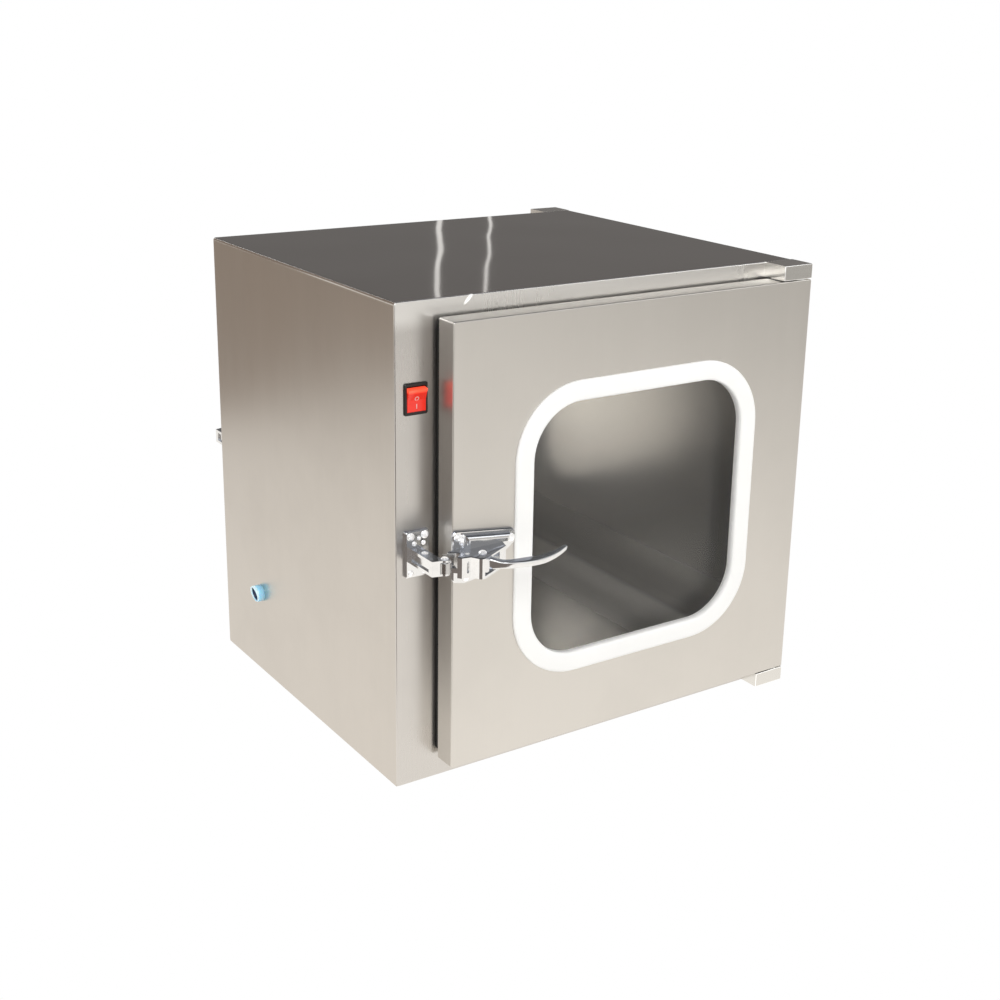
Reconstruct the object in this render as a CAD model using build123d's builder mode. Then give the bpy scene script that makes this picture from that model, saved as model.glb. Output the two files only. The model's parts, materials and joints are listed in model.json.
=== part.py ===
from build123d import *
from math import cos, radians, sin
import os

# Cleanroom pass box: a stainless cabinet with a through chamber and a door on its front and rear face.
# Millimetres. The origin is the middle of the underside, the front door faces -Y, up is +Z, and the
# doors hinge on the +X side. The rear doorway is the front one mirrored through the middle of the depth.

# --- cabinet -------------------------------------------------------------------------------------
CABINET_W = 500.0  # X
CABINET_D = 420.0  # Y, over the two frames
CABINET_H = 500.0  # Z
SHEET = 1.5  # stainless sheet
WRAP_BEND_R = 3.0  # outer bend of the wrap's two top corners
FRAME_EDGE_R = 1.2  # rolled outer edge of the frames
FRAME_RETURN = 18.0  # depth of the frames' folded returns
BASE_FLANGE = 20.0  # height of the base pan's side flanges
BASE_FLANGE_INSET = 2.0  # clear space between a base flange and a frame return

# --- chamber -------------------------------------------------------------------------------------
CHAMBER_LEFT = 70.0  # from the cabinet's latch side to the chamber's wall
CHAMBER_RIGHT = 50.0  # from the cabinet's hinge side to the chamber's wall
CHAMBER_SILL = 40.0  # from the underside to the chamber's floor
CHAMBER_HEAD = 46.0  # from the chamber's ceiling to the cabinet's top
CHAMBER_R = 30.0  # coved corners

# --- doors and hinges ----------------------------------------------------------------------------
STILE_W = 44.5  # width of the frame left bare beside the door
SEAL_GAP = 6.0  # between the frame and the door's back
DOOR_T = 26.0
DOOR_CORNER_R = 2.0
DOOR_EDGE_R = 1.3
BRACKET_W = 40.0
BRACKET_H = 16.0
BRACKET_EDGE_R = 0.8
BRACKET_SILL = 5.8  # underside of the lower hinge bracket above the cabinet's underside
PIVOT_FROM_EDGE = 12.0  # hinge axis in from the door's hinge edge
PIVOT_FROM_FACE = 10.0  # hinge axis behind the door's front face
HINGE_PIN_R = 4.0
HINGE_PIN_IN_DOOR = 12.0
HINGE_PIN_COVER = 4.0  # bracket metal left over the end of the pin
BUSH_R = 6.5
BUSH_FLANGE_R = 9.0
BUSH_FLANGE_T = 0.8
BUSH_LENGTH = 14.0
BODY_GAP = 0.3  # between pieces that move against each other
RUN_CLEAR = 0.05  # radial running clearance of every pivot
SEAT_CLEAR = 0.02  # radial clearance of a pin that stays put in its hole

# --- door seal -----------------------------------------------------------------------------------
SEAL_W = 14.0
SEAL_R = 12.0
SEAL_LIP = 1.6  # bevel round the lip that meets the frame
SEAL_EDGE_X = 0.5  # in from the door's free edge
SEAL_HINGE_X = 14.0  # in from the door's hinge edge
SEAL_EDGE_Z = 2.5  # in from the door's top and bottom

# --- window --------------------------------------------------------------------------------------
WINDOW_SIDE = 92.5  # from the door's side edges to the clear opening inside the gasket
WINDOW_TOP = 94.0  # from the door's top and bottom to the clear opening
WINDOW_R = 56.0
GASKET_BAND = 21.0  # width of the gasket's front lip
GASKET_PROUD = 4.0
GASKET_WALL = 8.0  # gasket thickness inside the cut-out
GASKET_NECK = 7.5  # how far the gasket reaches behind the door's face
GASKET_BEVEL = 2.6  # rounding of the lip's outer edge, as a bevel
GASKET_INNER_BEVEL = 1.6
GLASS_T = 4.0
GLASS_GRIP = 5.0  # depth of the groove that holds the outer pane
GLASS_SETBACK = 1.0  # outer pane behind the door's face
INNER_WIDER = 22.0  # how far the inner skin's cut-out stands outside the window
INNER_LAP = 8.0  # how far the inner pane laps its skin

# --- latch, measured from the door's free edge (dx, towards the hinge) and out from its face -------
LATCH_Z = 250.5
LEVER_PIVOT_DX = 18.0
LEVER_PIVOT_OUT = 26.0
LEVER_ROOT_R = 7.0
LEVER_ROOT_H = 15.4
LEVER_REACH = 95.5  # pivot to tip
LEVER_BOW = 22.5  # how far the arm bows out past its pivot
LEVER_TIP_OUT = 8.5  # the tip out past the pivot
LEVER_T = 6.5
LEVER_TIP_R = 1.6
LEVER_ARM_LOW = 5.5  # underside of the arm below LATCH_Z
LEVER_ARM_HIGH = 4.0  # top of the arm above LATCH_Z
LEVER_TIP_LOW = 2.0
LEVER_TIP_HIGH = 3.4
LEVER_NECK_DX = 20.0  # where the arm leaves the root's height
LEVER_TAPER_DX = 60.0  # where the arm starts to taper to its tip
LEVER_PIN_R = 3.0
LEVER_PIN_HEAD_R = 4.0
LEVER_PIN_HEAD_H = 2.4
HOOK_PIVOT_DX = 4.5
HOOK_PIVOT_OUT = 20.0
HOOK_H = 11.0
HOOK_RING_R = 4.8
HOOK_FINGER_T = 3.2
HOOK_PIN_R = 2.5
HOOK_THROW = 24.0  # degrees between released and engaged
HOUSING_LEFT = 9.5  # the nose past the door's free edge
HOUSING_RIGHT = 52.5
HOUSING_OUT = 40.0  # the housing's crest, over the lever's root
HOUSING_H = 21.4
HOUSING_BEVEL = 0.9
HOUSING_SLOT_W = 2.0
HOUSING_SLOT_H = 12.0
BASE_T = 3.5
BASE_LEFT = 1.5  # past the door's free edge
BASE_TO_GASKET = 1.0
BASE_HIGH_LEFT = 28.6  # the base's top edge above LATCH_Z, at its left and right end
BASE_HIGH_RIGHT = 19.6
BASE_EAR_LOW = 5.0  # the right ear's underside above LATCH_Z
BASE_FOOT = 27.6  # the lower lobe below LATCH_Z
BASE_FOOT_LEFT = 12.0
BASE_FOOT_RIGHT = 46.0
BASE_CORNER_R = 5.0
MOUND_OUT = 7.0  # how far the cast mound stands out from the latch base
MOUND_LEFT = 9.0
MOUND_RIGHT = 62.0
MOUND_MARGIN = 2.6  # base left bare above the mound
MOUND_ROLL = 5.0  # radius of the mound's rolled upper edge

# --- strike on the stile -------------------------------------------------------------------------
STRIKE_W = 26.0
STRIKE_H = 48.0
STRIKE_T = 4.0
STRIKE_CORNER_R = 2.0
STRIKE_BEVEL = 0.8
ARM_W = 12.0
ARM_H = 15.6
ARM_OFFSET = 3.6  # arm's centre left of the strike plate's centre
ARM_EAR_T = 2.2
ARM_EAR_R = 5.0
ARM_END_OVER = 3.5  # arm's end beyond the roller's centre
ARM_RECESS = 2.0
ARM_RECESS_RIM = 3.0
ROLLER_R = 6.6
ROLLER_DX = 17.5  # roller's centre beyond the door's free edge
ROLLER_OUT = 14.5  # roller's centre out from the door's face
ROLLER_PIN_R = 2.0
ROLLER_HEAD_R = 3.6
ROLLER_HEAD_H = 1.8

# --- rocker switch -------------------------------------------------------------------------------
SWITCH_Z = 406.0
BEZEL_W = 25.5
BEZEL_H = 31.5
BEZEL_T = 2.0
BEZEL_R = 2.0
SWITCH_BODY_W = 24.0
SWITCH_BODY_H = 28.0
SWITCH_BODY_D = 20.0
ROCKER_W = 20.0
ROCKER_H = 22.5
ROCKER_WALL = 12.6  # half the height of the well that the rocker swings in
ROCKER_FRONT = 4.5  # rocker's middle ahead of its pivot
ROCKER_END = 6.5  # rocker's ends ahead of its pivot
ROCKER_BACK = 6.0
ROCKER_PIVOT_IN = 2.0  # pivot behind the frame's face
ROCKER_THROW = 20.0  # degrees between its two positions
TRUNNION_R = 1.5
TRUNNION_L = 1.2
WELL_D = 12.0

# --- cable bush on the left side -------------------------------------------------------------------
CABLE_Y = 110.0
CABLE_Z = 99.0
CABLE_BORE_R = 5.0
CABLE_NECK_R = 8.0
CABLE_RIM_R = 10.0
CABLE_RIM_L = 14.0
CABLE_INNER_L = 8.0

# --- germicidal lamp under the chamber's ceiling ------------------------------------------------------
LAMP_CHANNEL_L = 316.0
LAMP_CHANNEL_W = 34.0
LAMP_CHANNEL_H = 20.0
LAMP_R = 7.75
LAMP_L = 288.0
LAMP_DROP = 13.0  # tube's axis below the channel
SOCKET_T = 10.0
SOCKET_W = 20.0
SOCKET_H = 23.0
BALLAST_L = 150.0
BALLAST_W = 40.0
BALLAST_H = 28.0

# --- derived places ------------------------------------------------------------------------------
half_w = CABINET_W / 2
half_d = CABINET_D / 2
wrap_half_d = half_d - SHEET
chamber_w = CABINET_W - CHAMBER_LEFT - CHAMBER_RIGHT
chamber_x = (CHAMBER_LEFT - CHAMBER_RIGHT) / 2
chamber_top = CABINET_H - CHAMBER_HEAD
chamber_h = chamber_top - CHAMBER_SILL
chamber_z = CHAMBER_SILL + chamber_h / 2
frame_y = -half_d
door_left = -half_w + STILE_W
door_right = half_w
door_back = frame_y - SEAL_GAP
door_front = door_back - DOOR_T
door_bottom = BRACKET_SILL + BRACKET_H + BODY_GAP + BUSH_FLANGE_T
door_top = CABINET_H - BRACKET_H - BODY_GAP - BUSH_FLANGE_T
door_w = door_right - door_left
door_h = door_top - door_bottom
door_x = (door_left + door_right) / 2
door_z = (door_bottom + door_top) / 2
window_w = door_w - 2 * WINDOW_SIDE
window_h = door_h - 2 * WINDOW_TOP
pivot_x = door_right - PIVOT_FROM_EDGE
pivot_y = door_front + PIVOT_FROM_FACE
stile_x = (-half_w + door_left) / 2
roller_x = door_left - ROLLER_DX
roller_y = door_front - ROLLER_OUT
rocker_y = frame_y + ROCKER_PIVOT_IN

os.makedirs("parts", exist_ok=True)


def export_piece(piece, name):
    """Label one finished piece and write it to its own STEP file."""
    piece.part.label = name
    export_step(piece.part, f"parts/{name}.step")


def export_both(piece, name):
    """Write a front piece and its mirror image for the rear doorway."""
    export_piece(piece, f"front_{name}")
    with BuildPart() as rear:
        mirror(piece.part, about=Plane.XZ)
    export_piece(rear, f"rear_{name}")


def facing(y):
    """The upright plane at y that faces the front: its own x is X and its own y is Z."""
    return Plane.XZ.offset(-y)


def level(z):
    """The level plane at height z."""
    return Plane.XY.offset(z)


def level_at(point, z):
    """The level plane at height z with its origin over a plan point."""
    return Plane(origin=(point[0], point[1], z))


def at(dx, out):
    """A plan point, dx from the door's free edge and out from the door's face."""
    return (door_left + dx, door_front - out)


lever_pivot = at(LEVER_PIVOT_DX, LEVER_PIVOT_OUT)
hook_pivot = at(HOOK_PIVOT_DX, HOOK_PIVOT_OUT)

# === cabinet =====================================================================================

# Outer wrap: one sheet folded over the left side, the top and the right side.
with BuildPart() as outer_wrap:
    with BuildSketch(facing(-wrap_half_d)) as outline:
        with Locations((0, CABINET_H / 2)):
            Rectangle(CABINET_W, CABINET_H)
        fillet(outline.vertices().group_by(Axis.Y)[-1], WRAP_BEND_R)
    extrude(amount=-2 * wrap_half_d)
    with BuildSketch(facing(-wrap_half_d)) as hollow:
        with Locations((0, (CABINET_H - SHEET) / 2)):
            Rectangle(CABINET_W - 2 * SHEET, CABINET_H - SHEET)
        fillet(hollow.vertices().group_by(Axis.Y)[-1], WRAP_BEND_R - SHEET)
    extrude(amount=-2 * wrap_half_d, mode=Mode.SUBTRACT)
    with BuildSketch(Plane.YZ.offset(-half_w)):
        with Locations((CABLE_Y, CABLE_Z)):
            Circle(CABLE_NECK_R + SEAT_CLEAR)
    extrude(amount=SHEET, mode=Mode.SUBTRACT)
export_piece(outer_wrap, "outer_wrap")

# Base pan: the floor between the wrap's sides, with a flange turned up along each side.
base_w = CABINET_W - 2 * SHEET
flange_l = 2 * (wrap_half_d - FRAME_RETURN - BASE_FLANGE_INSET)
with BuildPart() as base_pan:
    with BuildSketch(level(0)):
        Rectangle(base_w, 2 * wrap_half_d)
    extrude(amount=SHEET)
    with BuildSketch(level(SHEET)):
        with Locations((-(base_w - SHEET) / 2, 0), ((base_w - SHEET) / 2, 0)):
            Rectangle(SHEET, flange_l)
    extrude(amount=BASE_FLANGE)
export_piece(base_pan, "base_pan")

# Frame: the face plate round the chamber's mouth, with returns folded back inside the wrap.
with BuildPart() as frame:
    with BuildSketch(facing(frame_y)):
        with Locations((0, CABINET_H / 2)):
            RectangleRounded(CABINET_W, CABINET_H, WRAP_BEND_R)
        with Locations((chamber_x, chamber_z)):
            RectangleRounded(chamber_w, chamber_h, CHAMBER_R, mode=Mode.SUBTRACT)
    extrude(amount=-SHEET)
    face_edges = frame.faces().sort_by(Axis.Y)[0].outer_wire().edges()
    fillet(face_edges, FRAME_EDGE_R)
    with BuildSketch(facing(frame_y + SHEET)):
        with Locations((0, CABINET_H / 2)):
            RectangleRounded(CABINET_W - 2 * SHEET, CABINET_H - 2 * SHEET, WRAP_BEND_R - SHEET)
            Rectangle(CABINET_W - 4 * SHEET, CABINET_H - 4 * SHEET, mode=Mode.SUBTRACT)
    extrude(amount=-FRAME_RETURN)

with BuildPart() as front_frame:
    add(frame.part)
    with BuildSketch(facing(frame_y)):
        with Locations((stile_x, SWITCH_Z)):
            Rectangle(SWITCH_BODY_W + 2 * SEAT_CLEAR, SWITCH_BODY_H + 2 * SEAT_CLEAR)
    extrude(amount=-SHEET, mode=Mode.SUBTRACT)
export_piece(front_frame, "front_frame")

with BuildPart() as rear_frame:
    mirror(frame.part, about=Plane.XZ)
export_piece(rear_frame, "rear_frame")

# Chamber liner: the coved tube between the two frames.
with BuildPart() as chamber_liner:
    with BuildSketch(facing(-wrap_half_d)):
        with Locations((chamber_x, chamber_z)):
            RectangleRounded(chamber_w + 2 * SHEET, chamber_h + 2 * SHEET, CHAMBER_R + SHEET)
            RectangleRounded(chamber_w, chamber_h, CHAMBER_R, mode=Mode.SUBTRACT)
    extrude(amount=-2 * wrap_half_d)
export_piece(chamber_liner, "chamber_liner")


# === hinges ======================================================================================


def hinge_side(name, bracket_low, bore_from, bore_to, pin_from, pin_to):
    """A pivot block on the frame's hinge side with a blind bore, and the pin fixed in it."""
    with BuildPart() as bracket:
        with BuildSketch(level(bracket_low)):
            with Locations((half_w - BRACKET_W / 2, (frame_y + door_front) / 2)):
                Rectangle(BRACKET_W, frame_y - door_front)
        extrude(amount=BRACKET_H)
        fillet(bracket.faces().sort_by(Axis.Y)[0].edges(), BRACKET_EDGE_R)
        with BuildSketch(level(bore_from)):
            with Locations((pivot_x, pivot_y)):
                Circle(HINGE_PIN_R + SEAT_CLEAR)
        extrude(amount=bore_to - bore_from, mode=Mode.SUBTRACT)
    export_both(bracket, f"hinge_bracket_{name}")
    with BuildPart() as pin:
        with BuildSketch(level(pin_from)):
            with Locations((pivot_x, pivot_y)):
                Circle(HINGE_PIN_R)
        extrude(amount=pin_to - pin_from)
    export_both(pin, f"hinge_pin_{name}")


lower_bracket_top = BRACKET_SILL + BRACKET_H
upper_bracket_low = CABINET_H - BRACKET_H
hinge_side(
    "bottom",
    BRACKET_SILL,
    BRACKET_SILL + HINGE_PIN_COVER,
    lower_bracket_top,
    BRACKET_SILL + HINGE_PIN_COVER,
    door_bottom + HINGE_PIN_IN_DOOR,
)
hinge_side(
    "top",
    upper_bracket_low,
    upper_bracket_low,
    CABINET_H - HINGE_PIN_COVER,
    door_top - HINGE_PIN_IN_DOOR,
    CABINET_H - HINGE_PIN_COVER,
)


def pivot_bush(name, seat_z, inward):
    """A flanged bush in the door's edge: its flange keeps the door off the bracket."""
    with BuildPart() as bush:
        with BuildSketch(level(seat_z)):
            with Locations((pivot_x, pivot_y)):
                Circle(BUSH_FLANGE_R)
        extrude(amount=-inward * BUSH_FLANGE_T)
        with BuildSketch(level(seat_z)):
            with Locations((pivot_x, pivot_y)):
                Circle(BUSH_R)
        extrude(amount=inward * BUSH_LENGTH)
        with BuildSketch(level(seat_z - inward * BUSH_FLANGE_T)):
            with Locations((pivot_x, pivot_y)):
                Circle(HINGE_PIN_R + RUN_CLEAR)
        extrude(amount=inward * (BUSH_FLANGE_T + BUSH_LENGTH), mode=Mode.SUBTRACT)
    export_both(bush, f"pivot_bush_{name}")


pivot_bush("bottom", door_bottom, 1)
pivot_bush("top", door_top, -1)

# === door ========================================================================================

cutout_w = window_w + 2 * GASKET_WALL
cutout_h = window_h + 2 * GASKET_WALL
cutout_r = WINDOW_R + GASKET_WALL

# Door pan: the front skin and its four folded sides, open at the back.
with BuildPart() as door_pan:
    with BuildSketch(facing(door_front)):
        with Locations((door_x, door_z)):
            RectangleRounded(door_w, door_h, DOOR_CORNER_R)
    extrude(amount=-DOOR_T)
    fillet(door_pan.faces().sort_by(Axis.Y)[0].edges(), DOOR_EDGE_R)
    with BuildSketch(facing(door_front + SHEET)):
        with Locations((door_x, door_z)):
            Rectangle(door_w - 2 * SHEET, door_h - 2 * SHEET)
    extrude(amount=-(DOOR_T - SHEET), mode=Mode.SUBTRACT)
    with BuildSketch(facing(door_front)):
        with Locations((door_x, door_z)):
            RectangleRounded(cutout_w, cutout_h, cutout_r)
    extrude(amount=-SHEET, mode=Mode.SUBTRACT)
    with BuildSketch(level(door_bottom)):
        with Locations((pivot_x, pivot_y)):
            Circle(BUSH_R + SEAT_CLEAR)
    extrude(amount=door_h, mode=Mode.SUBTRACT)
export_both(door_pan, "door_pan")

# Inner skin: closes the pan's back between its folded sides. Its cut-out is wider than the window.
inner_w = window_w + 2 * INNER_WIDER
inner_h = window_h + 2 * INNER_WIDER
inner_r = WINDOW_R + INNER_WIDER
inner_skin_front = door_back - SHEET
with BuildPart() as door_inner:
    with BuildSketch(facing(inner_skin_front)):
        with Locations((door_x, door_z)):
            Rectangle(door_w - 2 * SHEET, door_h - 2 * SHEET)
            RectangleRounded(inner_w, inner_h, inner_r, mode=Mode.SUBTRACT)
    extrude(amount=-SHEET)
export_both(door_inner, "door_inner")

# Window gasket: a broad lip in front, and a neck through the skin with the outer pane's groove.
lip_w = window_w + 2 * GASKET_BAND
lip_h = window_h + 2 * GASKET_BAND
lip_r = WINDOW_R + GASKET_BAND
with BuildPart() as window_gasket:
    with BuildSketch(facing(door_front)):
        with Locations((door_x, door_z)):
            RectangleRounded(lip_w, lip_h, lip_r)
            RectangleRounded(window_w, window_h, WINDOW_R, mode=Mode.SUBTRACT)
    extrude(amount=GASKET_PROUD)
    lip_face = window_gasket.faces().sort_by(Axis.Y)[0]
    chamfer(lip_face.outer_wire().edges(), GASKET_BEVEL)
    lip_face = window_gasket.faces().sort_by(Axis.Y)[0]
    chamfer(lip_face.inner_wires()[0].edges(), GASKET_INNER_BEVEL)
    with BuildSketch(facing(door_front)):
        with Locations((door_x, door_z)):
            RectangleRounded(cutout_w, cutout_h, cutout_r)
            RectangleRounded(window_w, window_h, WINDOW_R, mode=Mode.SUBTRACT)
    extrude(amount=-GASKET_NECK)
    with BuildSketch(facing(door_front + GLASS_SETBACK)):
        with Locations((door_x, door_z)):
            RectangleRounded(
                window_w + 2 * GLASS_GRIP,
                window_h + 2 * GLASS_GRIP,
                WINDOW_R + GLASS_GRIP,
            )
    extrude(amount=-GLASS_T, mode=Mode.SUBTRACT)
export_both(window_gasket, "window_gasket")


def pane(name, front_y, over):
    """A glass pane that reaches past the window's outline by the given amount."""
    with BuildPart() as glass:
        with BuildSketch(facing(front_y)):
            with Locations((door_x, door_z)):
                RectangleRounded(window_w + 2 * over, window_h + 2 * over, WINDOW_R + over)
        extrude(amount=-GLASS_T)
    export_both(glass, f"glass_{name}")


# The outer pane sits in the gasket's groove, and the inner one is bonded to its skin from inside.
pane("outer", door_front + GLASS_SETBACK, GLASS_GRIP)
pane("inner", inner_skin_front - GLASS_T, INNER_WIDER + INNER_LAP)

# Door seal: a rubber ring on the door's back that stops just short of the frame.
seal_w = door_w - SEAL_EDGE_X - SEAL_HINGE_X
seal_h = door_h - 2 * SEAL_EDGE_Z
seal_x = door_left + SEAL_EDGE_X + seal_w / 2
with BuildPart() as door_seal:
    with BuildSketch(facing(door_back)):
        with Locations((seal_x, door_z)):
            RectangleRounded(seal_w, seal_h, SEAL_R)
            Rectangle(seal_w - 2 * SEAL_W, seal_h - 2 * SEAL_W, mode=Mode.SUBTRACT)
    extrude(amount=-(SEAL_GAP - BODY_GAP))
    chamfer(door_seal.faces().sort_by(Axis.Y)[-1].outer_wire().edges(), SEAL_LIP)
export_both(door_seal, "door_seal")

# === latch on the door ===========================================================================

base_front = door_front - BASE_T
housing_low = LATCH_Z - HOUSING_H / 2
hook_low = LATCH_Z - HOOK_H / 2
lever_low = LATCH_Z - LEVER_ROOT_H / 2
hook_slot_h = HOOK_H + 2 * BODY_GAP
lever_slot_h = LEVER_ROOT_H + 2 * BODY_GAP


def on_door(dx, dz):
    """A point on the door's face, dx from its free edge and dz above the latch's middle."""
    return (door_left + dx, LATCH_Z + dz)


# Latch base: a cast flange with rounded screw ears, a rolled mound above the housing and a notch
# that the hook swings through.
base_right = WINDOW_SIDE - GASKET_BAND - BASE_TO_GASKET
base_slope = (BASE_HIGH_RIGHT - BASE_HIGH_LEFT) / (base_right + BASE_LEFT)
with BuildPart() as latch_base:
    with BuildSketch(facing(door_front)) as flange:
        with BuildLine():
            Polyline(
                on_door(-BASE_LEFT, BASE_HIGH_LEFT),
                on_door(base_right, BASE_HIGH_RIGHT),
                on_door(base_right, BASE_EAR_LOW),
                on_door(base_right - 10, -2),
                on_door(BASE_FOOT_RIGHT, -BASE_FOOT + 5),
                on_door(BASE_FOOT_LEFT, -BASE_FOOT),
                on_door(-BASE_LEFT, -BASE_FOOT + 3),
                close=True,
            )
        make_face()
        fillet(flange.vertices(), BASE_CORNER_R)
    extrude(amount=BASE_T)
    chamfer(latch_base.faces().sort_by(Axis.Y)[0].edges(), HOUSING_BEVEL)
    mound_high = BASE_HIGH_LEFT - MOUND_MARGIN
    with BuildSketch(facing(base_front)):
        with BuildLine():
            Polyline(
                on_door(MOUND_LEFT, HOUSING_H / 2),
                on_door(MOUND_RIGHT, HOUSING_H / 2),
                on_door(MOUND_RIGHT, mound_high + base_slope * (MOUND_RIGHT + BASE_LEFT)),
                on_door(MOUND_LEFT, mound_high + base_slope * (MOUND_LEFT + BASE_LEFT)),
                close=True,
            )
        make_face()
    extrude(amount=MOUND_OUT)
    mound_face = latch_base.faces().sort_by(Axis.Y)[0]
    fillet(mound_face.edges().sort_by(Axis.Z)[1:], MOUND_ROLL)
    with BuildSketch(facing(base_front)):
        with Locations(on_door(HOOK_PIVOT_DX / 2 + 0.75, 0)):
            Rectangle(HOOK_PIVOT_DX + 6.5, hook_slot_h)
    extrude(amount=-BASE_T, mode=Mode.SUBTRACT)
export_both(latch_base, "latch_base")

# Latch housing: a forked casting. The hook turns in the slot of its nose, and the lever's root
# turns in the wider slot on its right.
with BuildPart() as latch_housing:
    with BuildSketch(level(housing_low)) as plan:
        with BuildLine():
            Polyline(
                at(-HOUSING_LEFT, BASE_T + 2),
                at(-0.5, 14),
                at(-HOUSING_LEFT + 1, 23),
                at(-HOUSING_LEFT + 4, 26.5),
                at(3.5, 28),
                at(10.5, HOUSING_OUT),
                at(HOUSING_RIGHT - 3, 19),
                at(HOUSING_RIGHT, 9),
                at(HOUSING_RIGHT, BASE_T),
                at(-1.5, BASE_T),
                close=True,
            )
        make_face()
        fillet(plan.vertices().sort_by(Axis.Y)[0], 5.0)
        fillet(plan.vertices().sort_by(Axis.X)[-1], 2.0)
    extrude(amount=HOUSING_H)
    chamfer(latch_housing.faces().sort_by(Axis.Z)[-1].edges(), HOUSING_BEVEL)
    with BuildSketch(level_at(hook_pivot, LATCH_Z - hook_slot_h / 2)):
        with BuildLine():
            Polyline((-5, -2), (-14, 3), (-26, 8), (-26, 20), (6, 20), (5.4, 0), close=True)
        make_face()
        Circle(HOOK_RING_R + 2 * BODY_GAP)
    extrude(amount=hook_slot_h, mode=Mode.SUBTRACT)
    with BuildSketch(level_at(lever_pivot, LATCH_Z - lever_slot_h / 2)):
        with BuildLine():
            Polyline((-7.4, 0), (-3.5, -18), (45, -18), (45, -3), (7.4, 3), close=True)
        make_face()
        Circle(LEVER_ROOT_R + BODY_GAP + 0.1)
    extrude(amount=lever_slot_h, mode=Mode.SUBTRACT)
    with BuildSketch(level(housing_low)):
        with Locations(lever_pivot):
            Circle(LEVER_PIN_R + SEAT_CLEAR)
        with Locations(hook_pivot):
            Circle(HOOK_PIN_R + SEAT_CLEAR)
    extrude(amount=HOUSING_H, mode=Mode.SUBTRACT)
    with BuildSketch(facing(door_front - LEVER_PIVOT_OUT - 6)):
        with Locations(on_door(0.8, 0)):
            RectangleRounded(HOUSING_SLOT_W, HOUSING_SLOT_H, HOUSING_SLOT_W / 2 - 0.05)
    extrude(amount=-8, mode=Mode.SUBTRACT)
export_both(latch_housing, "latch_housing")

# Lever: a bowed pull that tapers in height from its round root to its tip.
lever_side = Plane(
    origin=(lever_pivot[0], lever_pivot[1] + LEVER_ROOT_R + 1, LATCH_Z),
    x_dir=(1, 0, 0),
    z_dir=(0, -1, 0),
)
arm_middle = (LEVER_REACH * 0.53, -LEVER_BOW)
arm_tip = (LEVER_REACH, -LEVER_TIP_OUT)
with BuildPart() as lever:
    with BuildSketch(level_at(lever_pivot, lever_low)):
        with BuildLine():
            outer_line = Spline(
                (0.5, -LEVER_ROOT_R),
                (LEVER_NECK_DX, -LEVER_BOW * 0.64),
                arm_middle,
                (LEVER_REACH * 0.78, -LEVER_BOW * 0.8),
                arm_tip,
            )
            tip_line = Line(arm_tip, (arm_tip[0] - LEVER_T / 2, arm_tip[1] + LEVER_T * 0.8))
            Spline(
                tip_line @ 1,
                (LEVER_REACH * 0.76, -LEVER_BOW * 0.8 + LEVER_T),
                (arm_middle[0], arm_middle[1] + LEVER_T),
                (LEVER_NECK_DX + 2, -LEVER_BOW * 0.64 + LEVER_T * 1.1),
                (LEVER_ROOT_R - 0.2, 0),
            )
            Line((LEVER_ROOT_R - 0.2, 0), outer_line @ 0)
        make_face()
        Circle(LEVER_ROOT_R)
    extrude(amount=LEVER_ROOT_H)
    fillet(lever.edges().filter_by(Axis.Z).sort_by(Axis.X)[-2:], LEVER_TIP_R)
    with BuildSketch(lever_side):
        with BuildLine():
            Polyline(
                (-LEVER_ROOT_R - 1, -LEVER_ROOT_H / 2),
                (LEVER_ROOT_R, -LEVER_ROOT_H / 2),
                (LEVER_NECK_DX, -LEVER_ARM_LOW),
                (LEVER_TAPER_DX, -LEVER_ARM_LOW),
                (LEVER_REACH + 1, -LEVER_TIP_LOW),
                (LEVER_REACH + 1, LEVER_TIP_HIGH),
                (LEVER_TAPER_DX, LEVER_ARM_HIGH),
                (LEVER_NECK_DX, LEVER_ARM_HIGH),
                (LEVER_ROOT_R, LEVER_ROOT_H / 2),
                (-LEVER_ROOT_R - 1, LEVER_ROOT_H / 2),
                close=True,
            )
        make_face()
    extrude(amount=LEVER_BOW + 2 * LEVER_ROOT_R + 2, mode=Mode.INTERSECT)
    with BuildSketch(level(lever_low)):
        with Locations(lever_pivot):
            Circle(LEVER_PIN_R + RUN_CLEAR)
    extrude(amount=LEVER_ROOT_H, mode=Mode.SUBTRACT)
export_both(lever, "lever")

# Lever pin: a plain pin through the housing's fork with a domed head on top.
with BuildPart() as lever_pin:
    with BuildSketch(level(housing_low)):
        with Locations(lever_pivot):
            Circle(LEVER_PIN_R)
    extrude(amount=HOUSING_H)
    with BuildSketch(level(housing_low + HOUSING_H)):
        with Locations(lever_pivot):
            Circle(LEVER_PIN_HEAD_R)
    extrude(amount=LEVER_PIN_HEAD_H)
    chamfer(lever_pin.faces().sort_by(Axis.Z)[-1].edges(), LEVER_PIN_HEAD_H * 0.6)
export_both(lever_pin, "lever_pin")

# Hook: drawn as it grips the roller, then turned back by its throw to the released place.
turned = Plane(
    origin=(hook_pivot[0], hook_pivot[1], hook_low),
    x_dir=(cos(radians(-HOOK_THROW)), sin(radians(-HOOK_THROW)), 0),
    z_dir=(0, 0, 1),
)
finger_front = HOOK_PIVOT_OUT - (ROLLER_OUT - ROLLER_R - BODY_GAP)
finger_tip = -(HOOK_PIVOT_DX + ROLLER_DX - BODY_GAP)
with BuildPart() as hook:
    with BuildSketch(turned) as claw:
        with BuildLine():
            Polyline(
                (-4, -2.5),
                (-12, 7.5),
                (-12.7, finger_front),
                (finger_tip, finger_front),
                (finger_tip, finger_front + HOOK_FINGER_T),
                (-10, finger_front + HOOK_FINGER_T),
                (-2.5, 11.5),
                (3.8, 3),
                close=True,
            )
        make_face()
        Circle(HOOK_RING_R)
        Circle(HOOK_PIN_R + RUN_CLEAR, mode=Mode.SUBTRACT)
    extrude(amount=HOOK_H)
export_both(hook, "hook")

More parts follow.
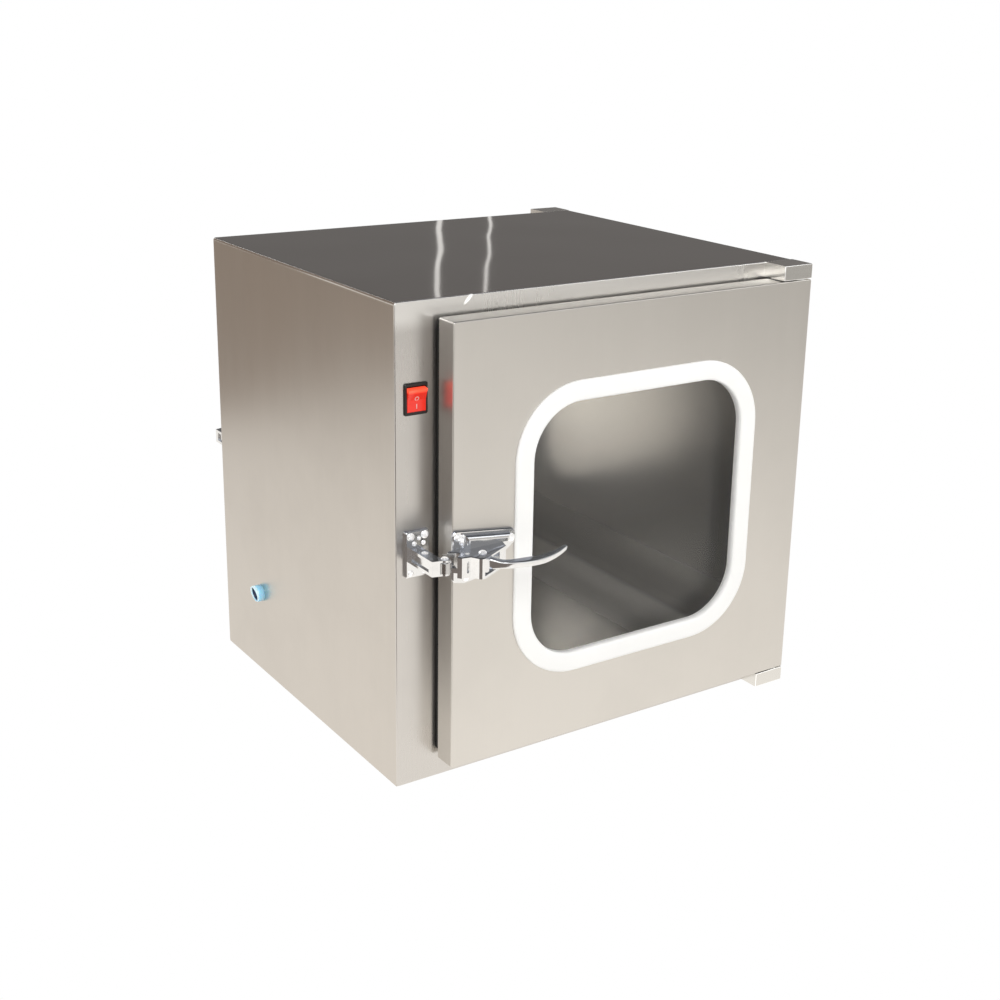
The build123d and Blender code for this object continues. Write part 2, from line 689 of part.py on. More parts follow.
with BuildPart() as hook_pin:
    with BuildSketch(level(housing_low)):
        with Locations(hook_pivot):
            Circle(HOOK_PIN_R)
    extrude(amount=HOUSING_H)
export_both(hook_pin, "hook_pin")

# === strike on the stile =========================================================================

strike_front = frame_y - STRIKE_T
arm_x = stile_x - ARM_OFFSET
arm_left = arm_x - ARM_W / 2
arm_end = roller_y - ARM_END_OVER
arm_low = LATCH_Z - ARM_H / 2

with BuildPart() as strike_plate:
    with BuildSketch(facing(frame_y)):
        with Locations((stile_x, LATCH_Z)):
            RectangleRounded(STRIKE_W, STRIKE_H, STRIKE_CORNER_R)
    extrude(amount=STRIKE_T)
    chamfer(strike_plate.faces().sort_by(Axis.Y)[0].edges(), STRIKE_BEVEL)
export_both(strike_plate, "strike_plate")

# Strike arm: stands out from the plate and forks into two ears that hold the roller between them.
roller_room = ROLLER_R + BODY_GAP
with BuildPart() as strike_arm:
    with BuildSketch(level(arm_low)):
        with BuildLine():
            Polyline(
                (arm_left, strike_front),
                (arm_left + ARM_W, strike_front),
                (arm_left + ARM_W, arm_end),
                (arm_left, arm_end + 3),
                close=True,
            )
        make_face()
        with Locations((roller_x, roller_y)):
            Circle(ARM_EAR_R)
    extrude(amount=ARM_H)
    with BuildSketch(level(arm_low + ARM_EAR_T)):
        with Locations((roller_x, roller_y)):
            Circle(roller_room)
    extrude(amount=ARM_H - 2 * ARM_EAR_T, mode=Mode.SUBTRACT)
    with BuildSketch(Plane.YZ.offset(arm_left)):
        with Locations(((strike_front + arm_end) / 2 + 2, LATCH_Z)):
            Rectangle(strike_front - arm_end - 14, ARM_H - 2 * ARM_RECESS_RIM)
    extrude(amount=ARM_RECESS, mode=Mode.SUBTRACT)
    with BuildSketch(level(arm_low)):
        with Locations((roller_x, roller_y)):
            Circle(ROLLER_PIN_R + SEAT_CLEAR)
    extrude(amount=ARM_H, mode=Mode.SUBTRACT)
export_both(strike_arm, "strike_arm")

roller_low = arm_low + ARM_EAR_T + BODY_GAP
roller_h = ARM_H - 2 * (ARM_EAR_T + BODY_GAP)
with BuildPart() as roller:
    with BuildSketch(level(roller_low)):
        with Locations((roller_x, roller_y)):
            Circle(ROLLER_R)
            Circle(ROLLER_PIN_R + RUN_CLEAR, mode=Mode.SUBTRACT)
    extrude(amount=roller_h)
export_both(roller, "roller")

with BuildPart() as roller_pin:
    with BuildSketch(level(arm_low)):
        with Locations((roller_x, roller_y)):
            Circle(ROLLER_PIN_R)
    extrude(amount=ARM_H)
    with BuildSketch(level(arm_low + ARM_H)):
        with Locations((roller_x, roller_y)):
            Circle(ROLLER_HEAD_R)
    extrude(amount=ROLLER_HEAD_H)
    chamfer(roller_pin.faces().sort_by(Axis.Z)[-1].edges(), ROLLER_HEAD_H * 0.6)
export_both(roller_pin, "roller_pin")

# === rocker switch ===============================================================================

# Switch body: a bezel on the stile's face, a box behind it and the well that the rocker swings in.
with BuildPart() as switch_body:
    with BuildSketch(facing(frame_y)):
        with Locations((stile_x, SWITCH_Z)):
            RectangleRounded(BEZEL_W, BEZEL_H, BEZEL_R)
    extrude(amount=BEZEL_T)
    chamfer(switch_body.faces().sort_by(Axis.Y)[0].edges(), BEZEL_T * 0.4)
    with BuildSketch(facing(frame_y)):
        with Locations((stile_x, SWITCH_Z)):
            Rectangle(SWITCH_BODY_W, SWITCH_BODY_H)
    extrude(amount=-SWITCH_BODY_D)
    with BuildSketch(facing(frame_y - BEZEL_T)):
        with Locations((stile_x, SWITCH_Z)):
            Rectangle(ROCKER_W + 2 * BODY_GAP, 2 * ROCKER_WALL)
    extrude(amount=-(BEZEL_T + WELL_D), mode=Mode.SUBTRACT)
    with BuildSketch(Plane.YZ.offset(stile_x)):
        with Locations((rocker_y, SWITCH_Z)):
            Circle(TRUNNION_R + RUN_CLEAR)
    extrude(amount=ROCKER_W / 2 + TRUNNION_L + BODY_GAP, both=True, mode=Mode.SUBTRACT)
export_piece(switch_body, "switch_body")

# Rocker: its face is two planes that meet in a shallow valley. At rest its lower end is pressed in.
tilt = radians(ROCKER_THROW / 2)
rocker_plane = Plane(
    origin=(stile_x, rocker_y, SWITCH_Z),
    x_dir=(0, -cos(tilt), -sin(tilt)),
    z_dir=(-1, 0, 0),
)
with BuildPart() as switch_rocker:
    with BuildSketch(rocker_plane) as profile:
        with BuildLine():
            Polyline(
                (ROCKER_FRONT, 0),
                (ROCKER_END, ROCKER_H / 2),
                (0, ROCKER_H / 2),
                (-ROCKER_BACK, 0),
                (0, -ROCKER_H / 2),
                (ROCKER_END, -ROCKER_H / 2),
                close=True,
            )
        make_face()
    extrude(amount=ROCKER_W / 2, both=True)
    with BuildSketch(rocker_plane):
        Circle(TRUNNION_R)
    extrude(amount=ROCKER_W / 2 + TRUNNION_L, both=True)
export_piece(switch_rocker, "switch_rocker")

# === cable bush ==================================================================================

with BuildPart() as cable_bush:
    with BuildSketch(Plane.YZ.offset(-half_w)):
        with Locations((CABLE_Y, CABLE_Z)):
            Circle(CABLE_RIM_R)
    extrude(amount=-CABLE_RIM_L)
    chamfer(cable_bush.faces().sort_by(Axis.X)[0].edges(), 1.5)
    with BuildSketch(Plane.YZ.offset(-half_w)):
        with Locations((CABLE_Y, CABLE_Z)):
            Circle(CABLE_NECK_R)
    extrude(amount=SHEET + CABLE_INNER_L)
    with BuildSketch(Plane.YZ.offset(-half_w - CABLE_RIM_L)):
        with Locations((CABLE_Y, CABLE_Z)):
            Circle(CABLE_BORE_R)
    extrude(amount=CABLE_RIM_L + SHEET + CABLE_INNER_L, mode=Mode.SUBTRACT)
export_piece(cable_bush, "cable_bush")

# === lamp ========================================================================================

channel_low = chamber_top - LAMP_CHANNEL_H
lamp_z = channel_low - LAMP_DROP
socket_x = LAMP_L / 2 + SOCKET_T / 2

# Lamp channel: a sheet trough turned upside down against the chamber's ceiling.
with BuildPart() as lamp_channel:
    with BuildSketch(level(channel_low)):
        with Locations((chamber_x, 0)):
            Rectangle(LAMP_CHANNEL_L, LAMP_CHANNEL_W)
    extrude(amount=LAMP_CHANNEL_H)
    with BuildSketch(level(channel_low + SHEET)):
        with Locations((chamber_x, 0)):
            Rectangle(LAMP_CHANNEL_L - 2 * SHEET, LAMP_CHANNEL_W - 2 * SHEET)
    extrude(amount=LAMP_CHANNEL_H - SHEET, mode=Mode.SUBTRACT)
export_piece(lamp_channel, "lamp_channel")

# Lamp sockets: one block at each end of the tube.
with BuildPart() as lamp_sockets:
    with BuildSketch(level(channel_low)):
        with Locations((chamber_x - socket_x, 0), (chamber_x + socket_x, 0)):
            Rectangle(SOCKET_T, SOCKET_W)
    extrude(amount=-SOCKET_H)
export_piece(lamp_sockets, "lamp_sockets")

with BuildPart() as lamp_tube:
    with BuildSketch(Plane.YZ.offset(chamber_x)):
        with Locations((0, lamp_z)):
            Circle(LAMP_R)
    extrude(amount=LAMP_L / 2, both=True)
export_piece(lamp_tube, "lamp_tube")

# Ballast: on the chamber's roof, under the wrap.
with BuildPart() as ballast:
    with BuildSketch(level(chamber_top + SHEET)):
        with Locations((chamber_x, 0)):
            RectangleRounded(BALLAST_L, BALLAST_W, 2.0)
    extrude(amount=BALLAST_H)
export_piece(ballast, "ballast")
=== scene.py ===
# %% [markdown]
# # A cleanroom pass box
# A pass box hands goods between two rooms without letting the air mix. It is a folded stainless
# cabinet with a chamber right through it and a glazed door on each face. This lesson dresses
# the engineered model: its solids keep their places, and the steel, chrome, rubber and glass
# are made here.

# %% Load the engineered model
import json

import bmesh
import bpy
import numpy as np
from mathutils import Matrix, Vector


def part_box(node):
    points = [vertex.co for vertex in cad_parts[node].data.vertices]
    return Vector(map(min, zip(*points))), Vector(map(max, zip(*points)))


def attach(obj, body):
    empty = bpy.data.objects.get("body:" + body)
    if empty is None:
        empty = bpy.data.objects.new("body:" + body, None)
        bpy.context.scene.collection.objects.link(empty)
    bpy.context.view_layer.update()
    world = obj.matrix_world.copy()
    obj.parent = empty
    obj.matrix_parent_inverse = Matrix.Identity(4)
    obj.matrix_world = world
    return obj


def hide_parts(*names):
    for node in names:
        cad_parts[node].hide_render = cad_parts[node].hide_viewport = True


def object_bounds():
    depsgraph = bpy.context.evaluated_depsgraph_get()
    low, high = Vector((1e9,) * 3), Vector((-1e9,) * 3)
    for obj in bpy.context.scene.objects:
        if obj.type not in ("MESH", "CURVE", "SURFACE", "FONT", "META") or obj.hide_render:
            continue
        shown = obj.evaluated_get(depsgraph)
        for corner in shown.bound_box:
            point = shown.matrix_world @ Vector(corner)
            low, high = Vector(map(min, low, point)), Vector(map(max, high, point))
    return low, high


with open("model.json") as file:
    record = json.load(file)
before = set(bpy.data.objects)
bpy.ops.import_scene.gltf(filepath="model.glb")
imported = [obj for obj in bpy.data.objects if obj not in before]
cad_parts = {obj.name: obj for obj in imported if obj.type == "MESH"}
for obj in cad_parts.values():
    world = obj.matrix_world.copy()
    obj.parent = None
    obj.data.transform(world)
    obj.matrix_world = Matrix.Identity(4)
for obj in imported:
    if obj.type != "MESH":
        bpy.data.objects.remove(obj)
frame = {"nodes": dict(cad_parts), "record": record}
cad_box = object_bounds()
nodes = frame["nodes"]
print("nodes", len(nodes), "box", [round(v, 4) for corner in cad_box for v in corner])

# %% [markdown]
# The camera comes first, because every later choice is judged through it. It stands to the left
# of the front door, a little above the roof. The shift keeps the cabinet's uprights as they
# converge.

# %% Camera
CAMERA_PLACE = Vector((-0.9052, -1.3797, 0.7745))
AZIMUTH, ELEVATION, ROLL = np.radians((-34.58, 17.17, 1.23))
FOCAL_OVER_WIDTH = 1.4803
SENSOR_MM = 36.0
SHIFT = (-0.0268, -0.0506)

back = Vector(
    (np.sin(AZIMUTH) * np.cos(ELEVATION), -np.cos(AZIMUTH) * np.cos(ELEVATION), np.sin(ELEVATION))
)
level_right = (-back).cross(Vector((0, 0, 1))).normalized()
level_up = level_right.cross(-back)
right = np.cos(ROLL) * level_right + np.sin(ROLL) * level_up
up = np.cos(ROLL) * level_up - np.sin(ROLL) * level_right
camera_data = bpy.data.cameras.new("camera")
camera_data.sensor_width = SENSOR_MM
camera_data.lens = FOCAL_OVER_WIDTH * SENSOR_MM
camera_data.shift_x, camera_data.shift_y = SHIFT
camera_data.clip_start = 0.01
camera = bpy.data.objects.new("camera", camera_data)
bpy.context.scene.collection.objects.link(camera)
turned = Matrix((right, up, back)).transposed().to_4x4()
camera.matrix_world = Matrix.Translation(CAMERA_PLACE) @ turned
bpy.context.scene.camera = camera
print("camera lens", round(camera_data.lens, 2), "mm at", tuple(CAMERA_PLACE))

# %% [markdown]
# Polished steel has no colour of its own to speak of: it shows the room. So the room is the
# larger part of the material. The backdrop is white for the camera and in reflections. A few
# soft cards, which only reflections can see, give the panels the dark and warm stretches that a
# real workshop would.

# %% Node helpers
def link(tree, start, end):
    """Join an output socket to an input socket."""
    tree.links.new(start, end)


def node(tree, kind, **settings):
    """Add a shader node and set its plain properties."""
    made = tree.nodes.new(kind)
    for name, value in settings.items():
        setattr(made, name, value)
    return made


def math_node(tree, operation, *values, clamp=False):
    """One arithmetic step on sockets or numbers, returned as its output socket."""
    made = node(tree, "ShaderNodeMath", operation=operation, use_clamp=clamp)
    for slot, value in zip(made.inputs, values):
        if isinstance(value, (int, float)):
            slot.default_value = value
        else:
            link(tree, value, slot)
    return made.outputs[0]


def blank_material(name):
    """A material with only a Principled BSDF, its tree and that node."""
    material = bpy.data.materials.new(name)
    material.use_nodes = True
    tree = material.node_tree
    return material, tree, tree.nodes["Principled BSDF"]


def mix_colour(tree, amount, first, second):
    """Blend two colours, sockets or tuples, by an amount from 0 to 1."""
    made = node(tree, "ShaderNodeMix", data_type="RGBA")
    for slot, value in ((made.inputs[0], amount), (made.inputs[6], first), (made.inputs[7], second)):
        if isinstance(value, (int, float)):
            slot.default_value = value
        elif isinstance(value, tuple):
            slot.default_value = (*value, 1.0)
        else:
            link(tree, value, slot)
    return made.outputs[2]


# %% World and floor
FLOOR_SIZE = 12.0
AMBIENT = 0.55
PAPER_WHITE = (1.0, 1.0, 1.0, 1.0)
CEILING = (0.10, 0.10, 0.11)  # what polished metal mirrors from high up
CEILING_FROM, CEILING_TO = 0.22, 0.6  # the steepness at which the mirrored white turns into ceiling
DAYLIGHT = (1.0, 0.985, 0.96, 1)
WARM_LIGHT = (1.0, 0.98, 0.95, 1)

world = bpy.data.worlds.new("studio")
bpy.context.scene.world = world
world.use_nodes = True
tree = world.node_tree
tree.nodes.clear()
rays = node(tree, "ShaderNodeLightPath")
seen = math_node(tree, "MAXIMUM", rays.outputs["Is Camera Ray"], rays.outputs["Is Transmission Ray"])
ambient = node(tree, "ShaderNodeBackground")
ambient.inputs["Color"].default_value = DAYLIGHT
ambient.inputs["Strength"].default_value = AMBIENT
mirrored = node(tree, "ShaderNodeBackground")
white = node(tree, "ShaderNodeBackground")
white.inputs["Color"].default_value = PAPER_WHITE
direction = node(tree, "ShaderNodeSeparateXYZ")
link(tree, node(tree, "ShaderNodeTexCoord").outputs["Generated"], direction.inputs[0])
climb = node(tree, "ShaderNodeMapRange", interpolation_type="SMOOTHSTEP")
link(tree, direction.outputs["Z"], climb.inputs["Value"])
climb.inputs["From Min"].default_value = CEILING_FROM
climb.inputs["From Max"].default_value = CEILING_TO
link(tree, mix_colour(tree, climb.outputs[0], PAPER_WHITE[:3], CEILING), mirrored.inputs["Color"])
lit = node(tree, "ShaderNodeMixShader")
link(tree, rays.outputs["Is Glossy Ray"], lit.inputs[0])
link(tree, ambient.outputs[0], lit.inputs[1])
link(tree, mirrored.outputs[0], lit.inputs[2])
mixed = node(tree, "ShaderNodeMixShader")
link(tree, seen, mixed.inputs[0])
link(tree, lit.outputs[0], mixed.inputs[1])
link(tree, white.outputs[0], mixed.inputs[2])
link(tree, mixed.outputs[0], node(tree, "ShaderNodeOutputWorld").inputs[0])


def flat_mesh(name, corners):
    """A flat sheet through its corners, one face, wound so that it faces by the right-hand rule."""
    mesh = bpy.data.meshes.new(name)
    mesh.from_pydata([tuple(c) for c in corners], [], [tuple(range(len(corners)))])
    sheet = bpy.data.objects.new(name, mesh)
    bpy.context.scene.collection.objects.link(sheet)
    return sheet


# %% [markdown]
# The paper on the floor is white for the camera. In reflections it is brightest round the
# cabinet's foot and falls off with distance, which shades every upright panel from light at its
# foot to dark at its top.

# %% Floor
UNDER_FOOT = 0.0005  # how far the paper lies below the cabinet
half = FLOOR_SIZE / 2
floor_z = cad_box[0].z - UNDER_FOOT
floor = flat_mesh(
    "floor", [(x * half, y * half, floor_z) for x, y in ((-1, -1), (1, -1), (1, 1), (-1, 1))]
)
POOL_MIDDLE = (-0.6, -0.3, 0.0)
POOL_NEAR, POOL_FAR = 0.3, 2.5  # radii where the pool of light starts and stops falling off
POOL_BRIGHT = (1.04, 1.0, 0.945)
POOL_DIM = (0.70, 0.675, 0.64)
PAPER_COLOUR, PAPER_ROUGHNESS = (0.86, 0.85, 0.83, 1), 0.9
material, tree, shader = blank_material("floor_white")
shader.inputs["Base Color"].default_value = PAPER_COLOUR
shader.inputs["Roughness"].default_value = PAPER_ROUGHNESS
reach = node(tree, "ShaderNodeVectorMath", operation="DISTANCE")
link(tree, node(tree, "ShaderNodeTexCoord").outputs["Object"], reach.inputs[0])
reach.inputs[1].default_value = POOL_MIDDLE
falloff = node(tree, "ShaderNodeMapRange")
link(tree, reach.outputs["Value"], falloff.inputs["Value"])
falloff.inputs["From Min"].default_value = POOL_NEAR
falloff.inputs["From Max"].default_value = POOL_FAR
pool = node(tree, "ShaderNodeEmission")
link(tree, mix_colour(tree, falloff.outputs[0], POOL_BRIGHT, POOL_DIM), pool.inputs["Color"])
paper = node(tree, "ShaderNodeEmission")
paper.inputs["Color"].default_value = PAPER_WHITE
rays = node(tree, "ShaderNodeLightPath")
lit = node(tree, "ShaderNodeMixShader")
link(tree, rays.outputs["Is Glossy Ray"], lit.inputs[0])
link(tree, shader.outputs[0], lit.inputs[1])
link(tree, pool.outputs[0], lit.inputs[2])
mixed = node(tree, "ShaderNodeMixShader")
link(tree, rays.outputs["Is Camera Ray"], mixed.inputs[0])
link(tree, lit.outputs[0], mixed.inputs[1])
link(tree, paper.outputs[0], mixed.inputs[2])
link(tree, mixed.outputs[0], tree.nodes["Material Output"].inputs[0])
floor.data.materials.append(material)
print("floor at", round(floor_z, 4))


# %% Reflection cards
ON_PAPER = floor_z + 0.001  # a card that lies on the paper


def card(name, corners, colour, slits=()):
    """A glowing sheet that only reflections see. A slit, (x, half width), is a bright upright line."""
    sheet = flat_mesh(name, corners)
    material, tree, shader = blank_material(name)
    tree.nodes.remove(shader)
    glow = node(tree, "ShaderNodeEmission")
    if slits:
        place = node(tree, "ShaderNodeSeparateXYZ")
        link(tree, node(tree, "ShaderNodeNewGeometry").outputs["Position"], place.inputs[0])
        lit = 0.0
        for x, reach in slits:
            off = math_node(tree, "ABSOLUTE", math_node(tree, "SUBTRACT", place.outputs["X"], x))
            lit = math_node(tree, "MAXIMUM", math_node(tree, "LESS_THAN", off, reach), lit)
        link(tree, mix_colour(tree, lit, colour, WARM_LIGHT[:3]), glow.inputs["Color"])
    else:
        glow.inputs["Color"].default_value = (*colour, 1.0)
    link(tree, glow.outputs[0], tree.nodes["Material Output"].inputs[0])
    sheet.data.materials.append(material)
    for ray in ("camera", "diffuse", "transmission", "shadow", "volume_scatter"):
        setattr(sheet, f"visible_{ray}", False)
    return sheet


card(
    "card_behind",
    [(-0.35, 2.6, 0.35), (5.2, 2.6, 0.35), (5.2, 2.6, 3.2), (-0.35, 2.6, 3.2)],
    (0.185, 0.175, 0.168),
    slits=((1.49, 0.009), (1.672, 0.006)),
)
card(
    "card_left",
    [(-2.6, 1.15, floor_z), (-0.42, 1.15, floor_z), (-0.42, 1.15, 2.2), (-2.6, 1.15, 2.2)],
    (0.34, 0.28, 0.235),
)
card(
    "card_right",
    [(1.5, -3.6, 0.0), (3.4, -1.2, 0.0), (3.4, -1.2, 2.2), (1.5, -3.6, 2.2)],
    (0.5, 0.48, 0.45),
)
card(
    "card_before_left",
    [(x, y, ON_PAPER) for x, y in ((-3.2, -3.2), (-0.34, -3.2), (-0.34, -0.37), (-3.2, -0.37))],
    (0.13, 0.105, 0.09),
)
card(
    "card_before_right",
    [(x, y, ON_PAPER) for x, y in ((1.3, -3.2), (3.4, -3.2), (3.4, -1.25), (1.3, -1.25))],
    (0.42, 0.405, 0.385),
)

# %% Lamps
LAMPS = {  # place, aimed at, width, power
    "key": ((-1.9, -2.6, 2.9), (0.0, 0.0, 0.25), 1.8, 62.0),
    "fill": ((2.6, -2.2, 1.9), (0.0, 0.0, 0.25), 2.0, 26.0),
    "rim": ((-1.2, 2.6, 2.4), (0.0, 0.0, 0.3), 1.6, 22.0),
}
for name, (place, aim, width, power) in LAMPS.items():
    data = bpy.data.lights.new(name, "AREA")
    data.shape = "SQUARE"
    data.size = width
    data.energy = power
    lamp = bpy.data.objects.new(name, data)
    bpy.context.scene.collection.objects.link(lamp)
    lamp.location = place
    lamp.rotation_euler = (Vector(aim) - Vector(place)).to_track_quat("-Z", "Y").to_euler()
    lamp.visible_camera = False
bpy.context.scene.view_settings.view_transform = "Standard"
print("lamps", list(LAMPS))

# %% [markdown]
# ## Three effects that several materials share
# Rolled steel is finished with a belt that leaves long fine scratches. Thin sheet is never
# quite flat, so its reflections wander. And everything that is handled carries faint smudges.
# Each effect is a node group with named inputs, so that every material can use it at its own
# strength.


# %% Shader groups
def group(name, inputs, outputs):
    """An empty shader node group with float or vector inputs and the named outputs."""
    made = bpy.data.node_groups.new(name, "ShaderNodeTree")
    for label, value in inputs.items():
        kind = "NodeSocketVector" if isinstance(value, tuple) else "NodeSocketFloat"
        made.interface.new_socket(label, in_out="INPUT", socket_type=kind).default_value = value
    for label, kind in outputs.items():
        made.interface.new_socket(label, in_out="OUTPUT", socket_type=kind)
    return made, node(made, "NodeGroupInput"), node(made, "NodeGroupOutput")


def noise(tree, vector, scale, detail=2.0, roughness=0.5):
    """A noise texture read at a vector socket, as its 0 to 1 factor."""
    made = node(tree, "ShaderNodeTexNoise")
    made.inputs["Detail"].default_value = detail
    made.inputs["Roughness"].default_value = roughness
    if isinstance(scale, (int, float)):
        made.inputs["Scale"].default_value = scale
    else:
        link(tree, scale, made.inputs["Scale"])
    link(tree, vector, made.inputs["Vector"])
    return made.outputs["Factor" if "Factor" in made.outputs else "Fac"]


STREAK_SCALE, STREAK_DETAIL, STREAK_ROUGHNESS, STREAK_SHARE = 10.0, 3.0, 0.6, 0.6
BROAD_SCALE, BROAD_SHARE = 0.7, 0.4
SMUDGE_DETAIL, SMUDGE_ROUGHNESS = 4.0, 0.65
SMUDGE_FROM, SMUDGE_TO = 0.45, 0.75  # the noise at which a smudge starts, and where it is full

brushing, given, put = group(
    "belt_brushing",
    {"Fineness": (60.0, 60.0, 2.0), "Contrast": 0.1, "Roughness": 0.3, "Spread": 0.1},
    {"Tone": "NodeSocketFloat", "Roughness": "NodeSocketFloat", "Height": "NodeSocketFloat"},
)
place = node(brushing, "ShaderNodeTexCoord").outputs["Object"]
scaled = node(brushing, "ShaderNodeVectorMath", operation="MULTIPLY")
link(brushing, place, scaled.inputs[0])
link(brushing, given.outputs["Fineness"], scaled.inputs[1])
streaks = noise(brushing, scaled.outputs[0], STREAK_SCALE, STREAK_DETAIL, STREAK_ROUGHNESS)
broad = noise(brushing, scaled.outputs[0], BROAD_SCALE)
broad = math_node(brushing, "MULTIPLY", broad, BROAD_SHARE)
both = math_node(brushing, "MULTIPLY_ADD", streaks, STREAK_SHARE, broad)
centred = math_node(brushing, "SUBTRACT", both, 0.5)
tone = math_node(brushing, "MULTIPLY_ADD", centred, given.outputs["Contrast"], 1.0)
link(brushing, tone, put.inputs["Tone"])
spread, rough = given.outputs["Spread"], given.outputs["Roughness"]
rough = math_node(brushing, "MULTIPLY_ADD", centred, spread, rough, clamp=True)
link(brushing, rough, put.inputs["Roughness"])
link(brushing, streaks, put.inputs["Height"])

waviness, given, put = group("sheet_waviness", {"Size": 4.0}, {"Height": "NodeSocketFloat"})
place = node(waviness, "ShaderNodeTexCoord").outputs["Object"]
link(waviness, noise(waviness, place, given.outputs["Size"], 0.5), put.inputs["Height"])

smudges, given, put = group("smudges", {"Size": 9.0, "Amount": 0.5}, {"Mask": "NodeSocketFloat"})
place = node(smudges, "ShaderNodeTexCoord").outputs["Object"]
cloud = noise(smudges, place, given.outputs["Size"], SMUDGE_DETAIL, SMUDGE_ROUGHNESS)
spread = node(smudges, "ShaderNodeMapRange")
link(smudges, cloud, spread.inputs["Value"])
spread.inputs["From Min"].default_value = SMUDGE_FROM
spread.inputs["From Max"].default_value = SMUDGE_TO
mask = math_node(smudges, "MULTIPLY", spread.outputs[0], given.outputs["Amount"])
link(smudges, mask, put.inputs["Mask"])
print("groups", [g.name for g in bpy.data.node_groups])


def use_group(tree, tool, **values):
    """Place a shader group in a material and set its inputs; underscores stand for spaces."""
    made = node(tree, "ShaderNodeGroup", node_tree=tool)
    for name, value in values.items():
        made.inputs[name.replace("_", " ")].default_value = value
    return made


def bump(tree, height, depth, after=None):
    """A Bump node of a depth in metres, on top of another normal where one is given."""
    made = node(tree, "ShaderNodeBump")
    made.inputs["Strength"].default_value = 1.0
    made.inputs["Distance"].default_value = depth
    link(tree, height, made.inputs["Height"])
    if after is not None:
        link(tree, after, made.inputs["Normal"])
    return made.outputs[0]


def ramp_up(tree, value, low, high):
    """0 below low, 1 above high and smooth between."""
    made = node(tree, "ShaderNodeMapRange", interpolation_type="SMOOTHSTEP")
    link(tree, value, made.inputs["Value"])
    made.inputs["From Min"].default_value = low
    made.inputs["From Max"].default_value = high
    return made.outputs[0]


def axes_of(tree, kind="Object"):
    """The X, Y and Z of a surface point, or of its Normal, as sockets by name."""
    split = node(tree, "ShaderNodeSeparateXYZ")
    link(tree, node(tree, "ShaderNodeTexCoord").outputs[kind], split.inputs[0])
    return split.outputs


def present(shader, name):
    """The socket that feeds an input of the shader now."""
    return shader.inputs[name].links[0].from_socket


def glow_by(tree, shader, colour, strength):
    """Emission of one colour, its strength a number or a socket."""
    shader.inputs["Emission Color"].default_value = colour
    if isinstance(strength, (int, float)):
        shader.inputs["Emission Strength"].default_value = strength
    else:
        link(tree, strength, shader.inputs["Emission Strength"])


# %% [markdown]
# ## Sheet steel
# The cabinet's sides, its face frames and the doors are one steel with the belt run in
# different directions. The base colour is a warm light grey, the belt marks vary it a little,
# and a smudge mask lifts the roughness in patches. The roof was left nearly bright, so it
# mirrors the room, and its colour is painted darker than the sides as painted shade.


# %% Steel materials
WORN_SIZE, WORN_SHADE, WORN_ROUGHNESS = 7.0, 0.93, 0.08
BELT_DEPTH, WAVE_SIZE = 0.000004, 3.0


def sheet_steel(
    name,
    colour,
    fineness,
    contrast=0.1,
    roughness=0.3,
    spread=0.12,
    wave=0.0006,
    worn_by=0.5,
):
    """Brushed sheet: colour times belt tone, roughness from belt and smudges, slight waviness."""
    material, tree, shader = blank_material(name)
    shader.inputs["Metallic"].default_value = 1.0
    belt = use_group(
        tree, brushing, Fineness=fineness, Contrast=contrast, Roughness=roughness, Spread=spread
    )
    worn = use_group(tree, smudges, Size=WORN_SIZE, Amount=worn_by)
    shade = mix_colour(tree, worn.outputs["Mask"], colour, tuple(WORN_SHADE * c for c in colour))
    toned = node(tree, "ShaderNodeVectorMath", operation="SCALE")
    link(tree, shade, toned.inputs[0])
    link(tree, belt.outputs["Tone"], toned.inputs["Scale"])
    link(tree, toned.outputs[0], shader.inputs["Base Color"])
    mask, rough = worn.outputs["Mask"], belt.outputs["Roughness"]
    rough = math_node(tree, "MULTIPLY_ADD", mask, WORN_ROUGHNESS, rough, clamp=True)
    link(tree, rough, shader.inputs["Roughness"])
    wavy = use_group(tree, waviness, Size=WAVE_SIZE)
    normal = bump(tree, wavy.outputs["Height"], wave)
    normal = bump(tree, belt.outputs["Height"], BELT_DEPTH, normal)
    link(tree, normal, shader.inputs["Normal"])
    return material, tree, shader


UPRIGHT = (60.0, 60.0, 1.5)  # belt marks that run up and down
LEVEL = (1.5, 1.5, 60.0)  # belt marks that run level
ROOF_SHADE_COLOUR, ROOF_ROUGHNESS = (0.5, 0.48, 0.465), 0.06
ROOF_FROM, ROOF_TO = 0.4965, 0.4995  # heights between which the satin side turns into polished roof
ROOF_DENTS, ROOF_DENT_SIZE = 0.0019, 6.5
cabinet_steel, tree, shader = sheet_steel("cabinet_steel", (0.64, 0.605, 0.56), UPRIGHT)
roof = ramp_up(tree, axes_of(tree)["Z"], ROOF_FROM, ROOF_TO)
# painted shade: the roof's colour is darker than the sides'
tone = mix_colour(tree, roof, present(shader, "Base Color"), ROOF_SHADE_COLOUR)
link(tree, tone, shader.inputs["Base Color"])
bright = node(tree, "ShaderNodeMix", data_type="FLOAT")
link(tree, roof, bright.inputs[0])
link(tree, present(shader, "Roughness"), bright.inputs[2])
bright.inputs[3].default_value = ROOF_ROUGHNESS
link(tree, bright.outputs[0], shader.inputs["Roughness"])
dents = use_group(tree, waviness, Size=ROOF_DENT_SIZE)
dented = math_node(tree, "MULTIPLY", dents.outputs["Height"], roof)
normal = bump(tree, dented, ROOF_DENTS, present(shader, "Normal"))
link(tree, normal, shader.inputs["Normal"])

